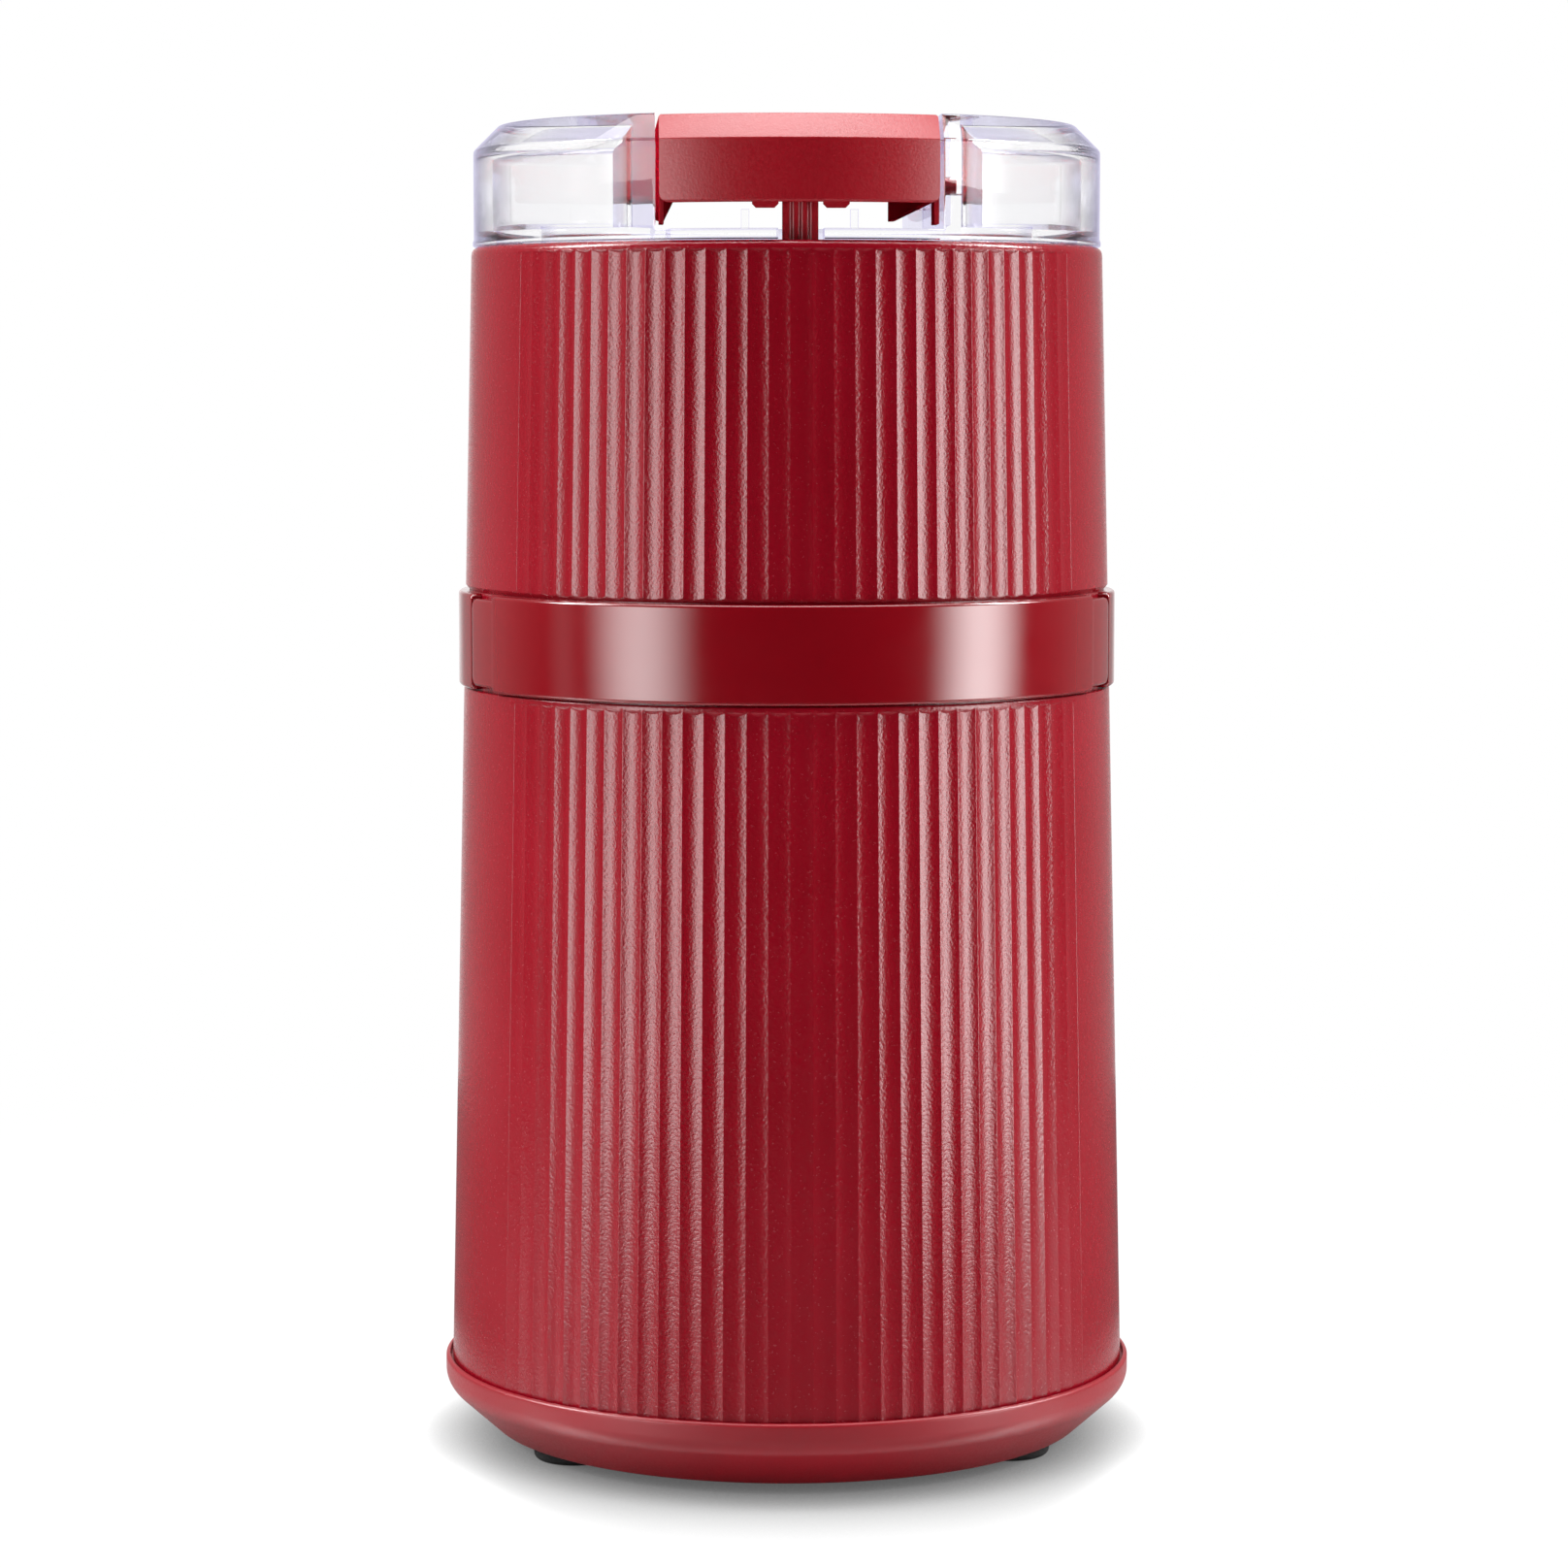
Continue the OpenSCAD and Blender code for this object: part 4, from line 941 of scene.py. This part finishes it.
press_bar = bar_solid("press_bar_moulding", 0, bar_z0, 0.3, 1.2)
joined(press_bar, [bar_solid("hollow", bar_skin, bar_z0 - 1, 0.3, 0.1),
                   block("cut", (-30, pivot_y + 2.6, 160), (30, 60, 174.6))], "DIFFERENCE")
skirt_x = 17.95
skirt_half = 0.3
hook_outline = [(-1.7, 0.9), (-1.7, -0.3), (-1.2, -0.8), (1.2, -0.8), (1.7, -0.3), (1.7, 0.9)]
bar_adds = [block("rod", (-rod_w / 2, -41.3, 164), (rod_w / 2, -38.9, lid_top_z - 2.4))]
for side in (-1, 1):
    bar_adds.append(block("skirt", (side * skirt_x - skirt_half, -37.6, bar_z0 - 2.7),
                          (side * skirt_x + skirt_half, -31.6, bar_z0 + 2)))
    hook = prism("hook", hook_outline, 41.2, 42.4)
    hook.data.transform(Matrix.Translation((side * 4.6 * MM, 0, bar_z0 * MM)) @ laid_back)
    bar_adds.append(hook)
    bar_adds.append(rod("pin", 1.5, (side * (bar_half - 1), pivot_y, pivot_z),
                        (side * (bar_half + 1.1), pivot_y, pivot_z), 48))
bar_adds += [block("rib", (1 - bar_half, y - 0.7, lid_top_z - 6), (bar_half - 1, y + 0.7, lid_top_z - 1.5))
             for y in (-14, 10)]
joined(press_bar, bar_adds, "UNION")
grooves = [rod("groove", 0.4, (x, -41.45, 163), (x, -41.45, bar_z0 + 0.5), 24) for x in (-1.15, 0, 1.15)]
joined(press_bar, grooves, "DIFFERENCE")
bar_plastic = moulded("bar_plastic", (0.25, 0.0012, 0.007), (0.29, 0.002, 0.009), 0.34, 0.34, 0.022)
# The grain hides the gloss where a wall is seen nearly edge on.
tree = bar_plastic.node_tree
edge_on = node(tree, "ShaderNodeLayerWeight", -600, -450).outputs["Facing"]
dulled = span(tree, edge_on, -400, -450, 0.78, 0.87, 0.5, 0)
tree.links.new(dulled, tree.nodes["Principled BSDF"].inputs["Specular IOR Level"])
painted(press_bar, bar_plastic)
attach(press_bar, "press_bar")
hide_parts("press_bar")


bpy.context.scene.view_settings.view_transform = "Standard"
